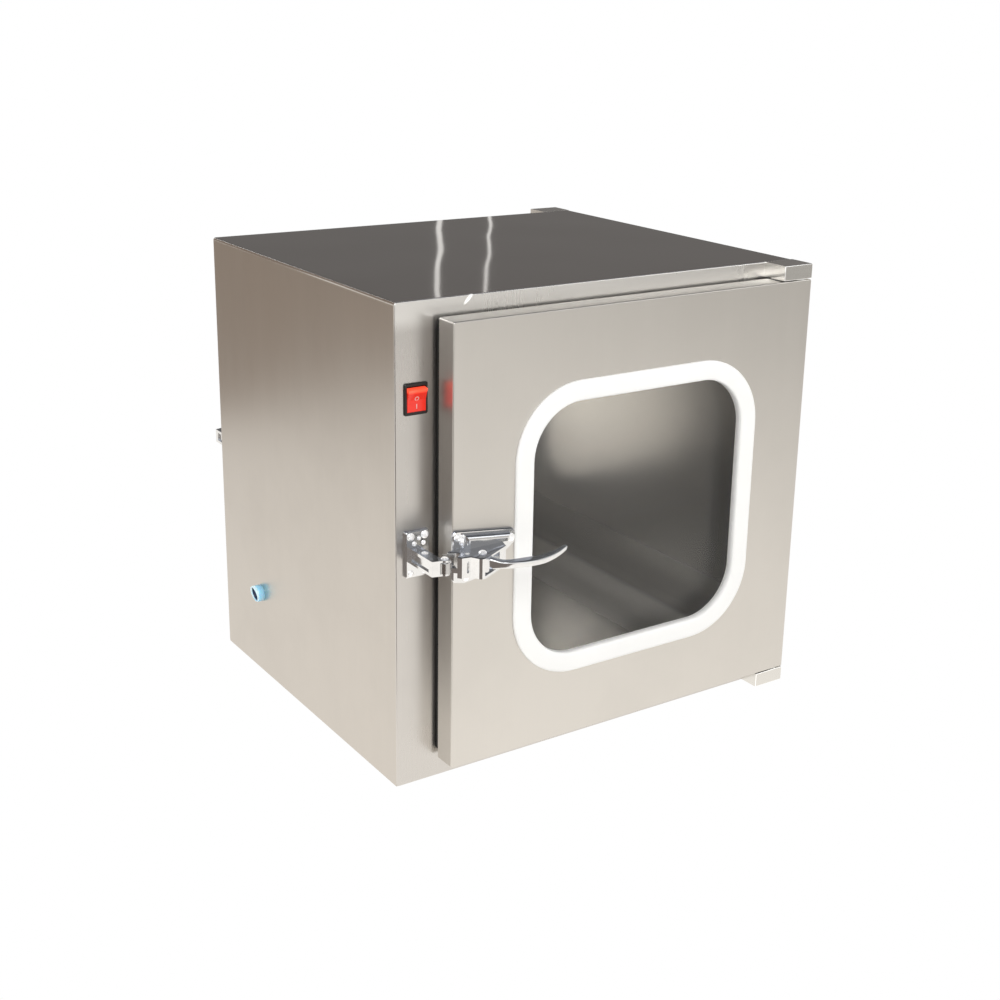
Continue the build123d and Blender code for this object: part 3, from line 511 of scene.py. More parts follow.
BAND_FROM, BAND_TO = 0.468, 0.486  # heights over which the band over the door is painted brighter than the stiles, a painted highlight
BAND_HIGHLIGHT = (0.95, 0.94, 0.915)
GLINT_MIDDLE, GLINT_TURN = (-0.1695, -0.21, 0.4962), 0.78  # a painted highlight: one small streak over the weld where the band meets the stile glows white
GLINT_LONG, GLINT_WIDE, GLINT_FADE, GLINT_GLOW = 0.0085, 0.0022, 0.6, 0.6
frame_steel, tree, shader = sheet_steel("frame_steel", (0.69, 0.67, 0.645), UPRIGHT, roughness=0.28)
band = ramp_up(tree, axes_of(tree)["Z"], BAND_FROM, BAND_TO)
tone = mix_colour(tree, band, present(shader, "Base Color"), BAND_HIGHLIGHT)
link(tree, tone, shader.inputs["Base Color"])
mapped = node(tree, "ShaderNodeMapping", vector_type="TEXTURE")
link(tree, node(tree, "ShaderNodeTexCoord").outputs["Object"], mapped.inputs["Vector"])
mapped.inputs["Location"].default_value = GLINT_MIDDLE
mapped.inputs["Rotation"].default_value = (0.0, -GLINT_TURN, 0.0)
mapped.inputs["Scale"].default_value = (GLINT_LONG, GLINT_LONG, GLINT_WIDE)
off = node(tree, "ShaderNodeVectorMath", operation="LENGTH")
link(tree, mapped.outputs[0], off.inputs[0])
glint = math_node(tree, "SUBTRACT", 1.0, ramp_up(tree, off.outputs["Value"], GLINT_FADE, 1.0))
glow_by(tree, shader, PAPER_WHITE, math_node(tree, "MULTIPLY", glint, GLINT_GLOW))

door_steel, *_ = sheet_steel(
    "door_steel", (0.755, 0.73, 0.69), UPRIGHT, contrast=0.04, roughness=0.34
)

# The liner's tones are painted light and shade, graded by height, depth and side.
CHAMBER_LOW_SHADE = (0.2, 0.193, 0.182)
CHAMBER_SHADE_FADE = (0.12, 0.31)  # heights between which the painted shade low in the liner fades out
CHAMBER_FLOOR_LIT, FLOOR_LIT_TO = (0.6, 0.59, 0.565), (0.052, 0.06)  # painted light: the floor plate is painted a little brighter
CHAMBER_SHADE_DEPTHS = (-0.16, 0.1)  # depths at which the painted shading takes its front value and its back value
CHAMBER_NEAR_SHADE, CHAMBER_FAR_LIGHT = 0.5, 1.05
LIT_Y, LIT_Z, LIT_GLOW = (-0.15, 0.13), (0.08, 0.27), 0.085  # a painted glow where the rear doorway lights the liner
COVE_X, COVE_Z = (0.13, 0.16), (0.07, 0.125)  # where the hinge side's lower cove starts and ends
# painted shade: the hinge side's lower cove is darkened; its roughness rises too
COVE_SHADE, COVE_ROUGHNESS = (0.26, 0.25, 0.235), 0.5
chamber_steel, tree, shader = sheet_steel(
    "chamber_steel",
    (0.66, 0.64, 0.6),
    LEVEL,
    contrast=0.06,
    roughness=0.25,
    spread=0.05,
    wave=0.0004,
    worn_by=0.12,
)
place = axes_of(tree)
low = math_node(tree, "SUBTRACT", 1.0, ramp_up(tree, place["Z"], *COVE_Z))
hinge_side = ramp_up(tree, place["X"], *COVE_X)
cove = math_node(tree, "MULTIPLY", hinge_side, low)
tone = present(shader, "Base Color")
tone = mix_colour(tree, ramp_up(tree, place["Z"], *CHAMBER_SHADE_FADE), CHAMBER_LOW_SHADE, tone)
# painted shade and light: the liner is darker towards the front and lighter towards the back
depth_shade = node(tree, "ShaderNodeMapRange")
link(tree, place["Y"], depth_shade.inputs["Value"])
depth_shade.inputs["From Min"].default_value, depth_shade.inputs["From Max"].default_value = CHAMBER_SHADE_DEPTHS
depth_shade.inputs["To Min"].default_value = CHAMBER_NEAR_SHADE
depth_shade.inputs["To Max"].default_value = CHAMBER_FAR_LIGHT
depth_shaded = node(tree, "ShaderNodeVectorMath", operation="SCALE")
link(tree, tone, depth_shaded.inputs[0])
link(tree, depth_shade.outputs[0], depth_shaded.inputs["Scale"])
tone = mix_colour(tree, cove, depth_shaded.outputs[0], COVE_SHADE)
tone = mix_colour(tree, ramp_up(tree, place["Z"], *FLOOR_LIT_TO), CHAMBER_FLOOR_LIT, tone)
link(tree, tone, shader.inputs["Base Color"])
rough = math_node(tree, "MULTIPLY_ADD", cove, COVE_ROUGHNESS, present(shader, "Roughness"))
link(tree, rough, shader.inputs["Roughness"])
lit = math_node(
    tree, "MULTIPLY", ramp_up(tree, place["Y"], *LIT_Y), ramp_up(tree, place["Z"], *LIT_Z)
)
lit = math_node(tree, "MULTIPLY", lit, hinge_side)
glow_by(tree, shader, WARM_LIGHT, math_node(tree, "MULTIPLY", lit, LIT_GLOW))

# A rounded edge faces no axis squarely, which tells it from the flats. A painted highlight makes it
# glow white.
EDGE_FROM, EDGE_TO, EDGE_HIGHLIGHT_GLOW = 0.93, 0.99, 0.5
bracket_steel, tree, shader = sheet_steel(
    "bracket_steel", (0.84, 0.83, 0.8), LEVEL, contrast=0.05, roughness=0.17, wave=0.0003
)
normal = axes_of(tree, "Normal")
facing = 0.0
for axis in "XYZ":
    facing = math_node(tree, "MAXIMUM", math_node(tree, "ABSOLUTE", normal[axis]), facing)
edge_highlight = math_node(tree, "SUBTRACT", 1.0, ramp_up(tree, facing, EDGE_FROM, EDGE_TO))
glow_by(tree, shader, PAPER_WHITE, math_node(tree, "MULTIPLY", edge_highlight, EDGE_HIGHLIGHT_GLOW))

turned_steel, *_ = sheet_steel(
    "turned_steel", (0.66, 0.655, 0.65), LEVEL, contrast=0.12, roughness=0.22, wave=0.0
)
print("steels", [m.name for m in bpy.data.materials if "steel" in m.name])

# %% [markdown]
# ## Chrome, rubber, plastic and glass
# The latch castings are polished and plated. Plating follows the casting's slight unevenness,
# so a very shallow bump keeps its mirror from looking computed.


# %% Smaller materials
CAST_SMUDGE_SIZE, CAST_SMUDGED, CAST_WORN_SHADE, CAST_WORN_ROUGHNESS = 90.0, 0.6, 0.9, 0.06
CAST_WAVE_SIZE, CAST_WAVE_DEPTH = 70.0, 0.00025
TOPSIDE_FROM, TOPSIDE_TO = 0.25, 0.8  # how squarely a plated face looks up to take its topside tone, a painted shade
MOULD_SMUDGE_SIZE, MOULD_SMUDGED, MOULD_WORN_SHADE, MOULD_WORN_ROUGHNESS = 40.0, 0.7, 0.95, 0.12
PEBBLE_SIZE, PEBBLE_DEPTH = 900.0, 0.00002


def plated(name, colour, roughness, topside, lift):
    """Mirror plating with faint smudges and the shallow unevenness of the casting under it.

    Faces that look up take the topside colour, a painted shade. The lift is a faint glow that
    stands for the light that small bright parts throw on one another.
    """
    material, tree, shader = blank_material(name)
    shader.inputs["Metallic"].default_value = 1.0
    worn = use_group(tree, smudges, Size=CAST_SMUDGE_SIZE, Amount=CAST_SMUDGED).outputs["Mask"]
    shade = mix_colour(tree, worn, colour, tuple(CAST_WORN_SHADE * c for c in colour))
    # painted shade: faces that look up take the topside colour
    upward = ramp_up(tree, axes_of(tree, "Normal")["Z"], TOPSIDE_FROM, TOPSIDE_TO)
    link(tree, mix_colour(tree, upward, shade, topside), shader.inputs["Base Color"])
    rough = math_node(tree, "MULTIPLY_ADD", worn, CAST_WORN_ROUGHNESS, roughness)
    link(tree, rough, shader.inputs["Roughness"])
    glow_by(tree, shader, PAPER_WHITE, lift)
    uneven = use_group(tree, waviness, Size=CAST_WAVE_SIZE)
    link(tree, bump(tree, uneven.outputs["Height"], CAST_WAVE_DEPTH), shader.inputs["Normal"])
    return material


def moulded(name, colour, roughness, sheen=0.5):
    """Moulded rubber or plastic: a fine pebble in the surface and smudges in its gloss."""
    material, tree, shader = blank_material(name)
    worn = use_group(tree, smudges, Size=MOULD_SMUDGE_SIZE, Amount=MOULD_SMUDGED).outputs["Mask"]
    shade = mix_colour(tree, worn, colour, tuple(MOULD_WORN_SHADE * c for c in colour))
    link(tree, shade, shader.inputs["Base Color"])
    rough = math_node(tree, "MULTIPLY_ADD", worn, MOULD_WORN_ROUGHNESS, roughness)
    link(tree, rough, shader.inputs["Roughness"])
    shader.inputs["Specular IOR Level"].default_value = sheen
    pebble = use_group(tree, waviness, Size=PEBBLE_SIZE)
    link(tree, bump(tree, pebble.outputs["Height"], PEBBLE_DEPTH), shader.inputs["Normal"])
    return material, tree, shader


# The chrome's topside colour is a dark painted shade; the screws' topside is barely darker.
mirror_chrome = plated("mirror_chrome", (0.89, 0.895, 0.9), 0.11, (0.15, 0.165, 0.2), 0.05)
screw_chrome = plated("screw_chrome", (0.95, 0.95, 0.95), 0.3, (0.9, 0.91, 0.93), 0.3)

# painted light: the white rubber glows faintly
RUBBER_GLOW = 0.12
white_rubber, tree, shader = moulded("white_rubber", (0.93, 0.93, 0.92), 0.42)
glow_by(tree, shader, PAPER_WHITE, RUBBER_GLOW)
black_rubber, *_ = moulded("black_rubber", (0.012, 0.012, 0.012), 0.6, sheen=0.3)
black_plastic, *_ = moulded("black_plastic", (0.02, 0.018, 0.017), 0.35)
white_plastic, *_ = moulded("white_plastic", (0.84, 0.84, 0.82), 0.35)
# painted shade: a navy lining darkens the bush's bore
bore_shade_navy, *_ = moulded("bore_shade_navy", (0.01, 0.035, 0.11), 0.35)
mark_paint, *_ = moulded("mark_paint", (1.0, 0.62, 0.58), 0.4)

RIM_FROM, RIM_TO = 0.4115, 0.4145  # heights of the rocker's rounded upper end, which gets a painted highlight
RIM_HIGHLIGHT, RIM_GLOW = (1.0, 0.14, 0.07), 0.5
ROCKER_LIGHT, ROCKER_GLOW, ROCKER_COAT = (1.0, 0.05, 0.02, 1), 0.22, 0.5
red_plastic, tree, shader = moulded("red_plastic", (0.8, 0.018, 0.008), 0.2)
rim = ramp_up(tree, axes_of(tree)["Z"], RIM_FROM, RIM_TO)
tone = mix_colour(tree, rim, present(shader, "Base Color"), RIM_HIGHLIGHT)
link(tree, tone, shader.inputs["Base Color"])
# painted light: the whole rocker glows faintly and its upper end more
glow_by(tree, shader, ROCKER_LIGHT, math_node(tree, "MULTIPLY_ADD", rim, RIM_GLOW, ROCKER_GLOW))
shader.inputs["Coat Weight"].default_value = ROCKER_COAT

BUSH_HIGHLIGHT_X, BUSH_HIGHLIGHT_FADE = -0.2583, 0.002  # the bush's outermost rim is painted pale, a painted highlight
BUSH_HIGHLIGHT, BUSH_LIGHT, BUSH_GLOW = (0.8, 0.95, 1.0), (0.45, 0.85, 1.0, 1), 0.22
BUSH_COAT, BUSH_DEPTH = 0.8, 0.2
blue_plastic, tree, shader = moulded("blue_plastic", (0.3, 0.66, 0.95), 0.15)
inner = ramp_up(tree, axes_of(tree)["X"], BUSH_HIGHLIGHT_X, BUSH_HIGHLIGHT_X + BUSH_HIGHLIGHT_FADE)
tone = mix_colour(tree, inner, BUSH_HIGHLIGHT, present(shader, "Base Color"))
link(tree, tone, shader.inputs["Base Color"])
# painted light: the whole bush glows faintly blue
glow_by(tree, shader, BUSH_LIGHT, BUSH_GLOW)
shader.inputs["Coat Weight"].default_value = BUSH_COAT
shader.inputs["Subsurface Weight"].default_value = BUSH_DEPTH

GLASS_TINT, GLASS_MIRROR, GLASS_IOR = (0.99, 0.985, 0.975, 1), (0.35, 0.35, 0.35, 1), 1.45
window_glass, tree, shader = blank_material("window_glass")
shader.inputs["Base Color"].default_value = GLASS_TINT
shader.inputs["Roughness"].default_value = 0.0
shader.inputs["IOR"].default_value = GLASS_IOR
shader.inputs["Specular Tint"].default_value = GLASS_MIRROR  # holds the pane's reflection down
shader.inputs["Transmission Weight"].default_value = 1.0
LAMP_COAT = 0.6
lamp_glass, tree, shader = moulded("lamp_glass", (0.8, 0.85, 0.9), 0.08)
shader.inputs["Coat Weight"].default_value = LAMP_COAT

FINISHES = {
    "cabinet_steel": cabinet_steel,
    "frame_steel": frame_steel,
    "chamber_steel": chamber_steel,
    "door_steel": door_steel,
    "mirror_chrome": mirror_chrome,
    "roller_steel": turned_steel,
    "pin_steel": turned_steel,
    "white_rubber": white_rubber,
    "black_rubber": black_rubber,
    "glass": window_glass,
    "black_plastic": black_plastic,
    "red_plastic": red_plastic,
    "blue_plastic": blue_plastic,
    "white_plastic": white_plastic,
    "lamp_glass": lamp_glass,
}
WELD_WITHIN = 1e-5
ROUND_WIDTH, ROUND_STEPS, ROUND_OVER = 0.0018, 3, np.radians(40)


def dress(piece, material):
    """Give a piece its only material."""
    piece.data.materials.clear()
    piece.data.materials.append(material)


for row in frame["record"]["subparts"]:
    dress(nodes[row["node"]], FINISHES[row["material_slot"]])
for name, piece in nodes.items():
    if "hinge_bracket" in name:
        dress(piece, bracket_steel)
        piece.modifiers.new("one_surface", "WELD").merge_threshold = WELD_WITHIN
        rounded = piece.modifiers.new("rounded_edges", "BEVEL")
        rounded.width, rounded.segments, rounded.limit_method = ROUND_WIDTH, ROUND_STEPS, "ANGLE"
        rounded.angle_limit = ROUND_OVER
    if name.endswith(("lever_pin", "roller_pin")):
        dress(piece, screw_chrome)

# %% [markdown]
# ## Screws
# Every plate of the latch and strike is held by screws with a cross recess. A screw head is a
# surface of revolution, so one function gives a height over radius and angle. The recess is
# part of that function: where a point lies in one of the two arms of the cross, the height
# sinks.

# %% Surface helpers


def mesh_from_grid(name, points, closed_around, material):
    """A piece from a grid of points, rows by columns by XYZ; columns may join round to the start."""
    rows, columns = points.shape[:2]
    across = columns if closed_around else columns - 1
    i, j = np.meshgrid(np.arange(rows - 1), np.arange(across), indexing="ij")
    k = (j + 1) % columns
    this, after = i * columns, (i + 1) * columns
    faces = np.stack([this + j, this + k, after + k, after + j], -1)
    mesh = bpy.data.meshes.new(name)
    mesh.from_pydata(points.reshape(-1, 3).tolist(), [], faces.reshape(-1, 4).tolist())
    mesh.polygons.foreach_set("use_smooth", np.ones(len(mesh.polygons), bool))
    mesh.materials.append(material)
    piece = bpy.data.objects.new(name, mesh)
    bpy.context.scene.collection.objects.link(piece)
    return piece


def cap_ends(piece):
    """Close a grid's first and last row with one face each; the rows run round."""
    mesh = piece.data
    columns = piece["columns"]
    total = len(mesh.vertices)
    points = np.empty(total * 3)
    mesh.vertices.foreach_get("co", points)
    faces = [tuple(p.vertices) for p in mesh.polygons]
    faces.append(tuple(range(columns))[::-1])
    faces.append(tuple(range(total - columns, total)))
    material = mesh.materials[0]
    mesh.clear_geometry()
    mesh.from_pydata(points.reshape(-1, 3).tolist(), [], faces)
    mesh.materials.clear()
    mesh.materials.append(material)
    mesh.polygons.foreach_set("use_smooth", np.ones(len(mesh.polygons), bool))
    return piece


HEAD_SUNK, HEAD_DROP, HEAD_RIM = 0.0002, 0.55, 0.4  # the last two as shares of the head's height
CROSS_ARM, CROSS_ARM_SLOPE = 0.13, 0.03  # half widths, as shares of the head's radius
CROSS_REACH, CROSS_REACH_SLOPE, CROSS_DEPTH = 0.62, 0.05, 0.62


def screw_head(name, place, normal, radius, height, material, turn):
    """A domed head: height falls as the square of radius, and sinks inside a cross of two arms.

    The grid runs from the rim, which is sunk slightly into its seat, over the dome to the middle.
    """
    normal = Vector(normal).normalized()
    side = normal.orthogonal().normalized()
    other = normal.cross(side)
    share = np.concatenate(([1.0, 1.0], np.linspace(0.98, 0.02, 15)))[:, None]
    angle = np.linspace(0, 2 * np.pi, 48, endpoint=False)[None, :]
    rise = height * (1 - HEAD_DROP * share**2) + 0 * angle
    rise[0] = -HEAD_SUNK
    rise[1] = height * HEAD_RIM
    u, v = share * np.cos(angle + turn), share * np.sin(angle + turn)
    arm = np.minimum(np.abs(u), np.abs(v))
    reach = np.maximum(np.abs(u), np.abs(v))
    inside_arm = np.clip((CROSS_ARM - arm) / CROSS_ARM_SLOPE, 0, 1)
    depth = inside_arm * np.clip((CROSS_REACH - reach) / CROSS_REACH_SLOPE, 0, 1)
    rise = rise - depth * height * CROSS_DEPTH * (rise > 0)
    x, y = radius * share * np.cos(angle), radius * share * np.sin(angle)
    points = (
        np.array(place)
        + x[..., None] * np.array(side)
        + y[..., None] * np.array(other)
        + rise[..., None] * np.array(normal)
    )
    piece = mesh_from_grid(name, points, True, material)
    piece["columns"] = angle.size
    return cap_ends(piece)


# %% Screws on the strike and the latch
FRONT = Vector((0, -1, 0))
strike_low, strike_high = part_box("front_strike_plate")
latch_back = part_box("front_latch_base")[1].y
arm_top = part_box("front_strike_arm")[1].z
INSET = 0.0052  # of a strike screw from the plate's edges
LATCH_PLATE_T = 0.0035
screw_left, screw_right = strike_low.x + INSET, strike_high.x - INSET
screw_low, screw_high = strike_low.z + INSET, strike_high.z - INSET
strike_y, latch_y = strike_low.y, latch_back - LATCH_PLATE_T
SCREWS = {  # name: (place on the front side, outward, radius, height)
    "strike_screw_ul": ((screw_left, strike_y, screw_high), FRONT, 0.0039, 0.0018),
    "strike_screw_ur": ((screw_right, strike_y, screw_high), FRONT, 0.0039, 0.0018),
    "strike_screw_ll": ((screw_left, strike_y, screw_low), FRONT, 0.0032, 0.0014),
    "strike_screw_lr": ((screw_right, strike_y, screw_low), FRONT, 0.0032, 0.0014),
    "adjust_screw_l": ((-0.2315, strike_y, 0.2615), FRONT, 0.0024, 0.0012),
    "adjust_screw_m": ((-0.2262, strike_y, 0.2665), FRONT, 0.0021, 0.0012),
    "adjust_screw_r": ((-0.2212, strike_y, 0.2612), FRONT, 0.0024, 0.0012),
    "arm_screw": ((-0.2315, -0.234, arm_top), Vector((0, 0, 1)), 0.0034, 0.0016),
}
LATCH_SCREWS = {
    "latch_screw_ul": ((-0.2002, latch_y, 0.2715), FRONT, 0.0038, 0.0018),
    "latch_screw_r": ((-0.1405, latch_y, 0.2612), FRONT, 0.0042, 0.0018),
    "latch_screw_low": ((-0.1922, latch_y, 0.2288), FRONT, 0.0032, 0.0015),
    "latch_dome": ((-0.1945, latch_y, 0.2665), FRONT, 0.0046, 0.0032),
}


def both_sides(name, place, normal, radius, height, body, turn):
    """The same screw on the front and, mirrored in Y, on the rear."""
    for side, sign in (("front", 1), ("rear", -1)):
        spot = (place[0], sign * place[1], place[2])
        way = (normal[0], sign * normal[1], normal[2])
        screw = screw_head(f"{side}_{name}", spot, way, radius, height, screw_chrome, turn)
        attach(screw, body.format(side=side))


# The crosses are turned from screw to screw, as screws come to rest: a start and a step in radians.
for count, (name, screw) in enumerate(SCREWS.items()):
    both_sides(name, *screw, "cabinet", 0.4 + 0.7 * count)
for count, (name, screw) in enumerate(LATCH_SCREWS.items()):
    both_sides(name, *screw, "{side}_door", 0.2 + 0.5 * count)
print("screws", 2 * (len(SCREWS) + len(LATCH_SCREWS)))

# %% [markdown]
# ## Window gaskets
# The white gasket is one soft section run round the window. Round a rounded rectangle, an
# offset of the outline keeps the corner centres and only changes the corner radius, so the
# whole ring is one formula.


# %% Gaskets
MILLI = 0.001
GASKET_BAND, GASKET_PROUD = 21.0 * MILLI, 4.0 * MILLI
GASKET_WALL, GASKET_NECK = 8.0 * MILLI, 7.5 * MILLI
WINDOW_R = 56.0 * MILLI
GASKET_SQUARENESS = 4.5


def ring_sweep(name, half_w, half_h, radius, middle, section, material, corner_steps=20):
    """A closed section run round a rounded rectangle.

    A section point (d, out) becomes corner centre + (radius + d) * (cos a, sin a), moved out by out
    along -Y.
    """
    angle = np.linspace(0, np.pi / 2, corner_steps)
    turns = np.concatenate([angle + quarter * np.pi / 2 for quarter in range(4)])
    side_x = np.repeat([1, -1, -1, 1], corner_steps) * (half_w - radius)
    side_z = np.repeat([1, 1, -1, -1], corner_steps) * (half_h - radius)
    d, out = section[:, 0, None], section[:, 1, None]
    x = middle[0] + side_x + (radius + d) * np.cos(turns)
    z = middle[2] + side_z + (radius + d) * np.sin(turns)
    y = middle[1] - out + 0 * turns
    points = np.stack([x, y, z], -1)
    return mesh_from_grid(name, np.concatenate([points, points[:1]]), True, material)


def lip_section(band, proud, wall, neck, power, steps=28):
    """Lip height over the band: proud * (1 - |2s - 1|^power)^(1/power). A neck runs in behind."""
    s = 0.5 - 0.5 * np.cos(np.linspace(0, np.pi, steps))
    rise = proud * (1 - np.abs(2 * s - 1) ** power) ** (1 / power)
    lip = np.stack([band * s, rise], -1)
    return np.concatenate([[(0.0, -neck)], lip, [(wall, 0.0), (wall, -neck)]])


def mirrored_copy(piece, name):
    """The piece mirrored in Y, with its faces turned right side out again."""
    mesh = piece.data.copy()
    mesh.name = name
    points = np.empty(len(mesh.vertices) * 3)
    mesh.vertices.foreach_get("co", points)
    points[1::3] *= -1
    mesh.vertices.foreach_set("co", points)
    mesh.flip_normals()
    twin = bpy.data.objects.new(name, mesh)
    bpy.context.scene.collection.objects.link(twin)
    return twin


gasket_low, gasket_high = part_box("front_window_gasket")
gasket_middle = (gasket_low + gasket_high) / 2
door_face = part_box("front_door_pan")[0].y
window_half_w = (gasket_high.x - gasket_low.x) / 2 - GASKET_BAND
window_half_h = (gasket_high.z - gasket_low.z) / 2 - GASKET_BAND
section = lip_section(GASKET_BAND, GASKET_PROUD, GASKET_WALL, GASKET_NECK, GASKET_SQUARENESS)
front_gasket = ring_sweep(
    "front_gasket_ring",
    window_half_w,
    window_half_h,
    WINDOW_R,
    (gasket_middle.x, door_face, gasket_middle.z),
    section,
    white_rubber,
)
rear_gasket = mirrored_copy(front_gasket, "rear_gasket_ring")
for side, ring in (("front", front_gasket), ("rear", rear_gasket)):
    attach(ring, f"{side}_door")
    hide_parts(f"{side}_window_gasket")
print("gasket", len(front_gasket.data.polygons), "faces each")

# %% [markdown]
# ## Switch marks and the cable bush
# The rocker carries the usual ring and bar. Each mark is a shallow raised shape laid on the
# rocker's own face, which a ray from the front finds. The bush's bore gets a dark navy sleeve,
# painted shade that darkens the bore.


# %% Marks and the bore's painted shade
def hit(node_name, start, way):
    """Where a ray first meets a CAD node, and the surface's normal there."""
    found, place, normal, _ = nodes[node_name].ray_cast(Vector(start), Vector(way))
    assert found, node_name
    return place, normal


def raised_outline(name, outer, inner, place, normal, height, material):
    """A shallow ring that stands out by height, between two closed outlines in the face's axes."""
    normal = Vector(normal).normalized()
    across = Vector((1, 0, 0))
    upward = normal.cross(across).normalized()
    if upward.z < 0:
        upward = -upward
    axes = np.array([across, upward])
    rows = [(outer, -height), (outer, height), (inner, height), (inner, -height)]
    grid = np.array([np.array(place) + line @ axes + rise * np.array(normal) for line, rise in rows])
    return mesh_from_grid(name, grid, True, material)


MARK_T = 0.12 * MILLI
RING_R, RING_LINE = 2.3 * MILLI, 0.75 * MILLI
BAR_W, BAR_H = 0.9 * MILLI, 4.6 * MILLI
BAR_SQUARENESS, BAR_MIDDLE = 1.6, 0.02
RING_RISE, BAR_RISE = 0.1, -0.56  # from the rocker's middle, as shares of its half height
RAY_AHEAD = 0.05
rocker_low, rocker_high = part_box("switch_rocker")
rocker_middle = (rocker_low + rocker_high) / 2
rocker_half = (rocker_high.z - rocker_low.z) / 2
turn = np.linspace(0, 2 * np.pi, 40, endpoint=False)
circle = np.stack([np.cos(turn), np.sin(turn)], -1)
bar = np.stack([np.cos(turn) * BAR_W, np.sin(turn) * BAR_H], -1) / 2
bar = np.clip(bar * BAR_SQUARENESS, (-BAR_W / 2, -BAR_H / 2), (BAR_W / 2, BAR_H / 2))
for name, rise, outer, inner in (
    ("mark_off", RING_RISE, circle * RING_R, circle * (RING_R - RING_LINE)),
    ("mark_on", BAR_RISE, bar, bar * BAR_MIDDLE),
):
    start = (rocker_middle.x, rocker_low.y - RAY_AHEAD, rocker_middle.z + rise * rocker_half)
    place, normal = hit("switch_rocker", start, (0, 1, 0))
    mark = raised_outline(name, outer, inner, place, normal, MARK_T, mark_paint)
    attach(mark, "switch_rocker")

# The bush is a tube cut on a slant, so its mouth stands out further at the top.
BUSH_R, BUSH_NECK_R, BUSH_MOUTH_R, BUSH_BORE_R = np.array((9.9, 8.0, 8.2, 5.0)) * MILLI
BUSH_OUT = 9.2 * MILLI
BUSH_SLANT = 0.2
bush_low, bush_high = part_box("cable_bush")
bush_middle = (bush_low + bush_high) / 2
panel_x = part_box("outer_wrap")[0].x
depth = bush_high.x - panel_x


def slanted_tube(name, profile, material):
    """A tube about X. A ring at distance d out is at x = panel - d - BUSH_SLANT * z * d / BUSH_OUT."""
    rows = []
    for r, out in profile:
        y, z = r * circle[:, 0], r * circle[:, 1]
        x = panel_x - out - BUSH_SLANT * z * max(out, 0.0) / BUSH_OUT
        rows.append(np.stack([x, bush_middle.y + y, bush_middle.z + z], -1))
    return mesh_from_grid(name, np.array(rows), True, material)


bush = slanted_tube(
    "bush_tube",
    [
        (BUSH_BORE_R, -depth),
        (BUSH_NECK_R, -depth),
        (BUSH_NECK_R, 0.0),
        (BUSH_R, 0.0),
        (BUSH_R, BUSH_OUT * 0.8),
        (BUSH_R - 0.8 * MILLI, BUSH_OUT),
        (BUSH_MOUTH_R + 0.5 * MILLI, BUSH_OUT),
        (BUSH_MOUTH_R, BUSH_OUT * 0.9),
        (BUSH_BORE_R, 0.0),
        (BUSH_BORE_R, -depth),
    ],
    blue_plastic,
)
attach(bush, "cabinet")
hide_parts("cable_bush")
# painted shade: a dark navy sleeve lines the bore and darkens it
bore_shade_sleeve = slanted_tube(
    "bush_bore_shade",
    [
        (BUSH_MOUTH_R - 0.5 * MILLI, BUSH_OUT * 0.84),
        (BUSH_BORE_R - 0.4 * MILLI, 0.0),
        (BUSH_BORE_R - 0.4 * MILLI, -depth),
    ],
    bore_shade_navy,
)
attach(bore_shade_sleeve, "cabinet")
print("marks and sleeve made")

# %% [markdown]
# ## Levers
# The lever is a flat bar that bows out from its round boss. Its outer edge is a cubic Bezier
# curve in plan, its width and height change smoothly along it, and its section is a squared-off
# ellipse.

# %% Levers
pivot = Vector((-187.5, -268.0, 250.5)) * MILLI
BOW_CURVE = np.array([(2.0, 0.0), (22.0, 21.0), (60.0, 32.0), (95.5, 8.0)]) * MILLI
BOSS_R, BOSS_H, BOSS_BORE_R = 7.0 * MILLI, 15.4 * MILLI, 3.05 * MILLI
BOSS_BEVEL = 0.5 * MILLI
SECTION_POWER = 5.0
WIDTH_AT, WIDTHS = (0, 0.2, 0.5, 1.0), np.array((7.0, 8.5, 11.5, 5.0)) * MILLI
TOP_AT, TOPS = (0, 0.24, 0.6, 1.0), np.array((5.6, 1.8, 1.6, 3.3)) * MILLI
LOW_AT, LOWS = (0, 0.22, 0.6, 1.0), np.array((-7.0, -5.6, -5.3, -1.6)) * MILLI
ALONG, TIP_STEPS = 64, 9
TIP = 0.03  # the share of the curve over which the end is rounded off
TIP_LEAST = 0.0009  # the square of the section's scale at the very end


def smooth_through(t, stops, values):
    """Values at the stops, joined by smoothstep arcs: v = a + (b - a) (3u^2 - 2u^3)."""
    out = np.empty_like(t)
    for a, b, low, high in zip(stops, stops[1:], values, values[1:]):
        inside = (t >= a) & (t <= b)
        u = (t[inside] - a) / (b - a)
        out[inside] = low + (high - low) * (3 * u**2 - 2 * u**3)
    return out


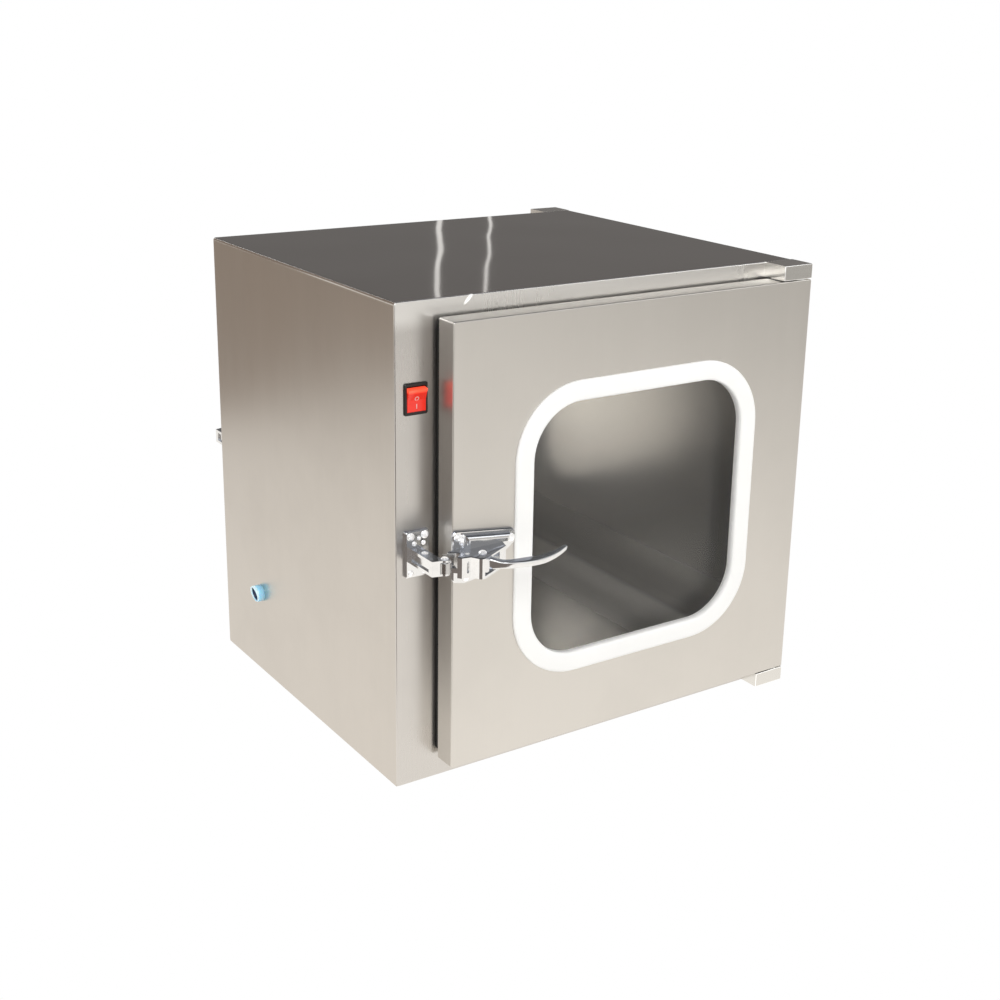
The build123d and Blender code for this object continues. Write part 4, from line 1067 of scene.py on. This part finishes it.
def lever_arm(name, material):
    """Bezier outer edge E(t), middle line E - n w/2, and each section a superellipse w by h."""
    tip = 1 - TIP * np.cos(np.linspace(0, np.pi / 2, TIP_STEPS)[1:])
    t = np.concatenate([np.linspace(0, 1 - TIP, ALONG), tip])
    basis = np.stack([(1 - t) ** 3, 3 * t * (1 - t) ** 2, 3 * t**2 * (1 - t), t**3], -1)
    edge = basis @ BOW_CURVE
    slope = np.gradient(edge, axis=0)
    slope /= np.linalg.norm(slope, axis=1)[:, None]
    outward = np.stack([-slope[:, 1], slope[:, 0]], -1)
    width = smooth_through(t, WIDTH_AT, WIDTHS)
    top = smooth_through(t, TOP_AT, TOPS)
    low = smooth_through(t, LOW_AT, LOWS)
    blunt = np.sqrt(np.clip(1 - np.clip((t - (1 - TIP)) / TIP, 0, 1) ** 2, TIP_LEAST, 1))
    turn = np.linspace(0, 2 * np.pi, 40, endpoint=False)
    u = np.sign(np.cos(turn)) * np.abs(np.cos(turn)) ** (2 / SECTION_POWER)
    v = np.sign(np.sin(turn)) * np.abs(np.sin(turn)) ** (2 / SECTION_POWER)
    inward = (width[:, None, None] / 2) * (1 - blunt[:, None, None] * u[:, None])
    plan = edge[:, None] - outward[:, None] * inward
    z = (top + low)[:, None] / 2 + (top - low)[:, None] / 2 * blunt[:, None] * v
    points = np.stack([pivot.x + plan[..., 0], pivot.y - plan[..., 1], pivot.z + z], -1)
    piece = mesh_from_grid(name, points, True, material)
    piece["columns"] = turn.size
    return cap_ends(piece)


def boss(name, material):
    """The round root: a ring section turned about the pivot, with a small bevel top and bottom."""
    half_h, cut = BOSS_H / 2, BOSS_BEVEL
    profile = [
        (BOSS_BORE_R, -half_h),
        (BOSS_R - cut, -half_h),
        (BOSS_R, cut - half_h),
        (BOSS_R, half_h - cut),
        (BOSS_R - cut, half_h),
        (BOSS_BORE_R, half_h),
        (BOSS_BORE_R, -half_h),
    ]
    x, y = circle[:, 0], circle[:, 1]
    rows = [np.stack([pivot.x + r * x, pivot.y + r * y, pivot.z + z + 0 * x], -1) for r, z in profile]
    return mesh_from_grid(name, np.array(rows), True, material)


def joined(name, parts):
    """One piece from several, which are then removed."""
    bm = bmesh.new()
    for part in parts:
        bm.from_mesh(part.data)
    bmesh.ops.recalc_face_normals(bm, faces=bm.faces)
    mesh = bpy.data.meshes.new(name)
    bm.to_mesh(mesh)
    bm.free()
    mesh.materials.append(parts[0].data.materials[0])
    for part in parts:
        bpy.data.objects.remove(part)
    piece = bpy.data.objects.new(name, mesh)
    bpy.context.scene.collection.objects.link(piece)
    return piece


front_bar = joined("front_lever_bar", [lever_arm("arm", mirror_chrome), boss("boss", mirror_chrome)])
front_bar.data.set_sharp_from_angle(angle=np.radians(35))
rear_bar = mirrored_copy(front_bar, "rear_lever_bar")
for side, bar_piece in (("front", front_bar), ("rear", rear_bar)):
    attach(bar_piece, f"{side}_lever")
    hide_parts(f"{side}_lever")
print("lever", len(front_bar.data.polygons), "faces each")
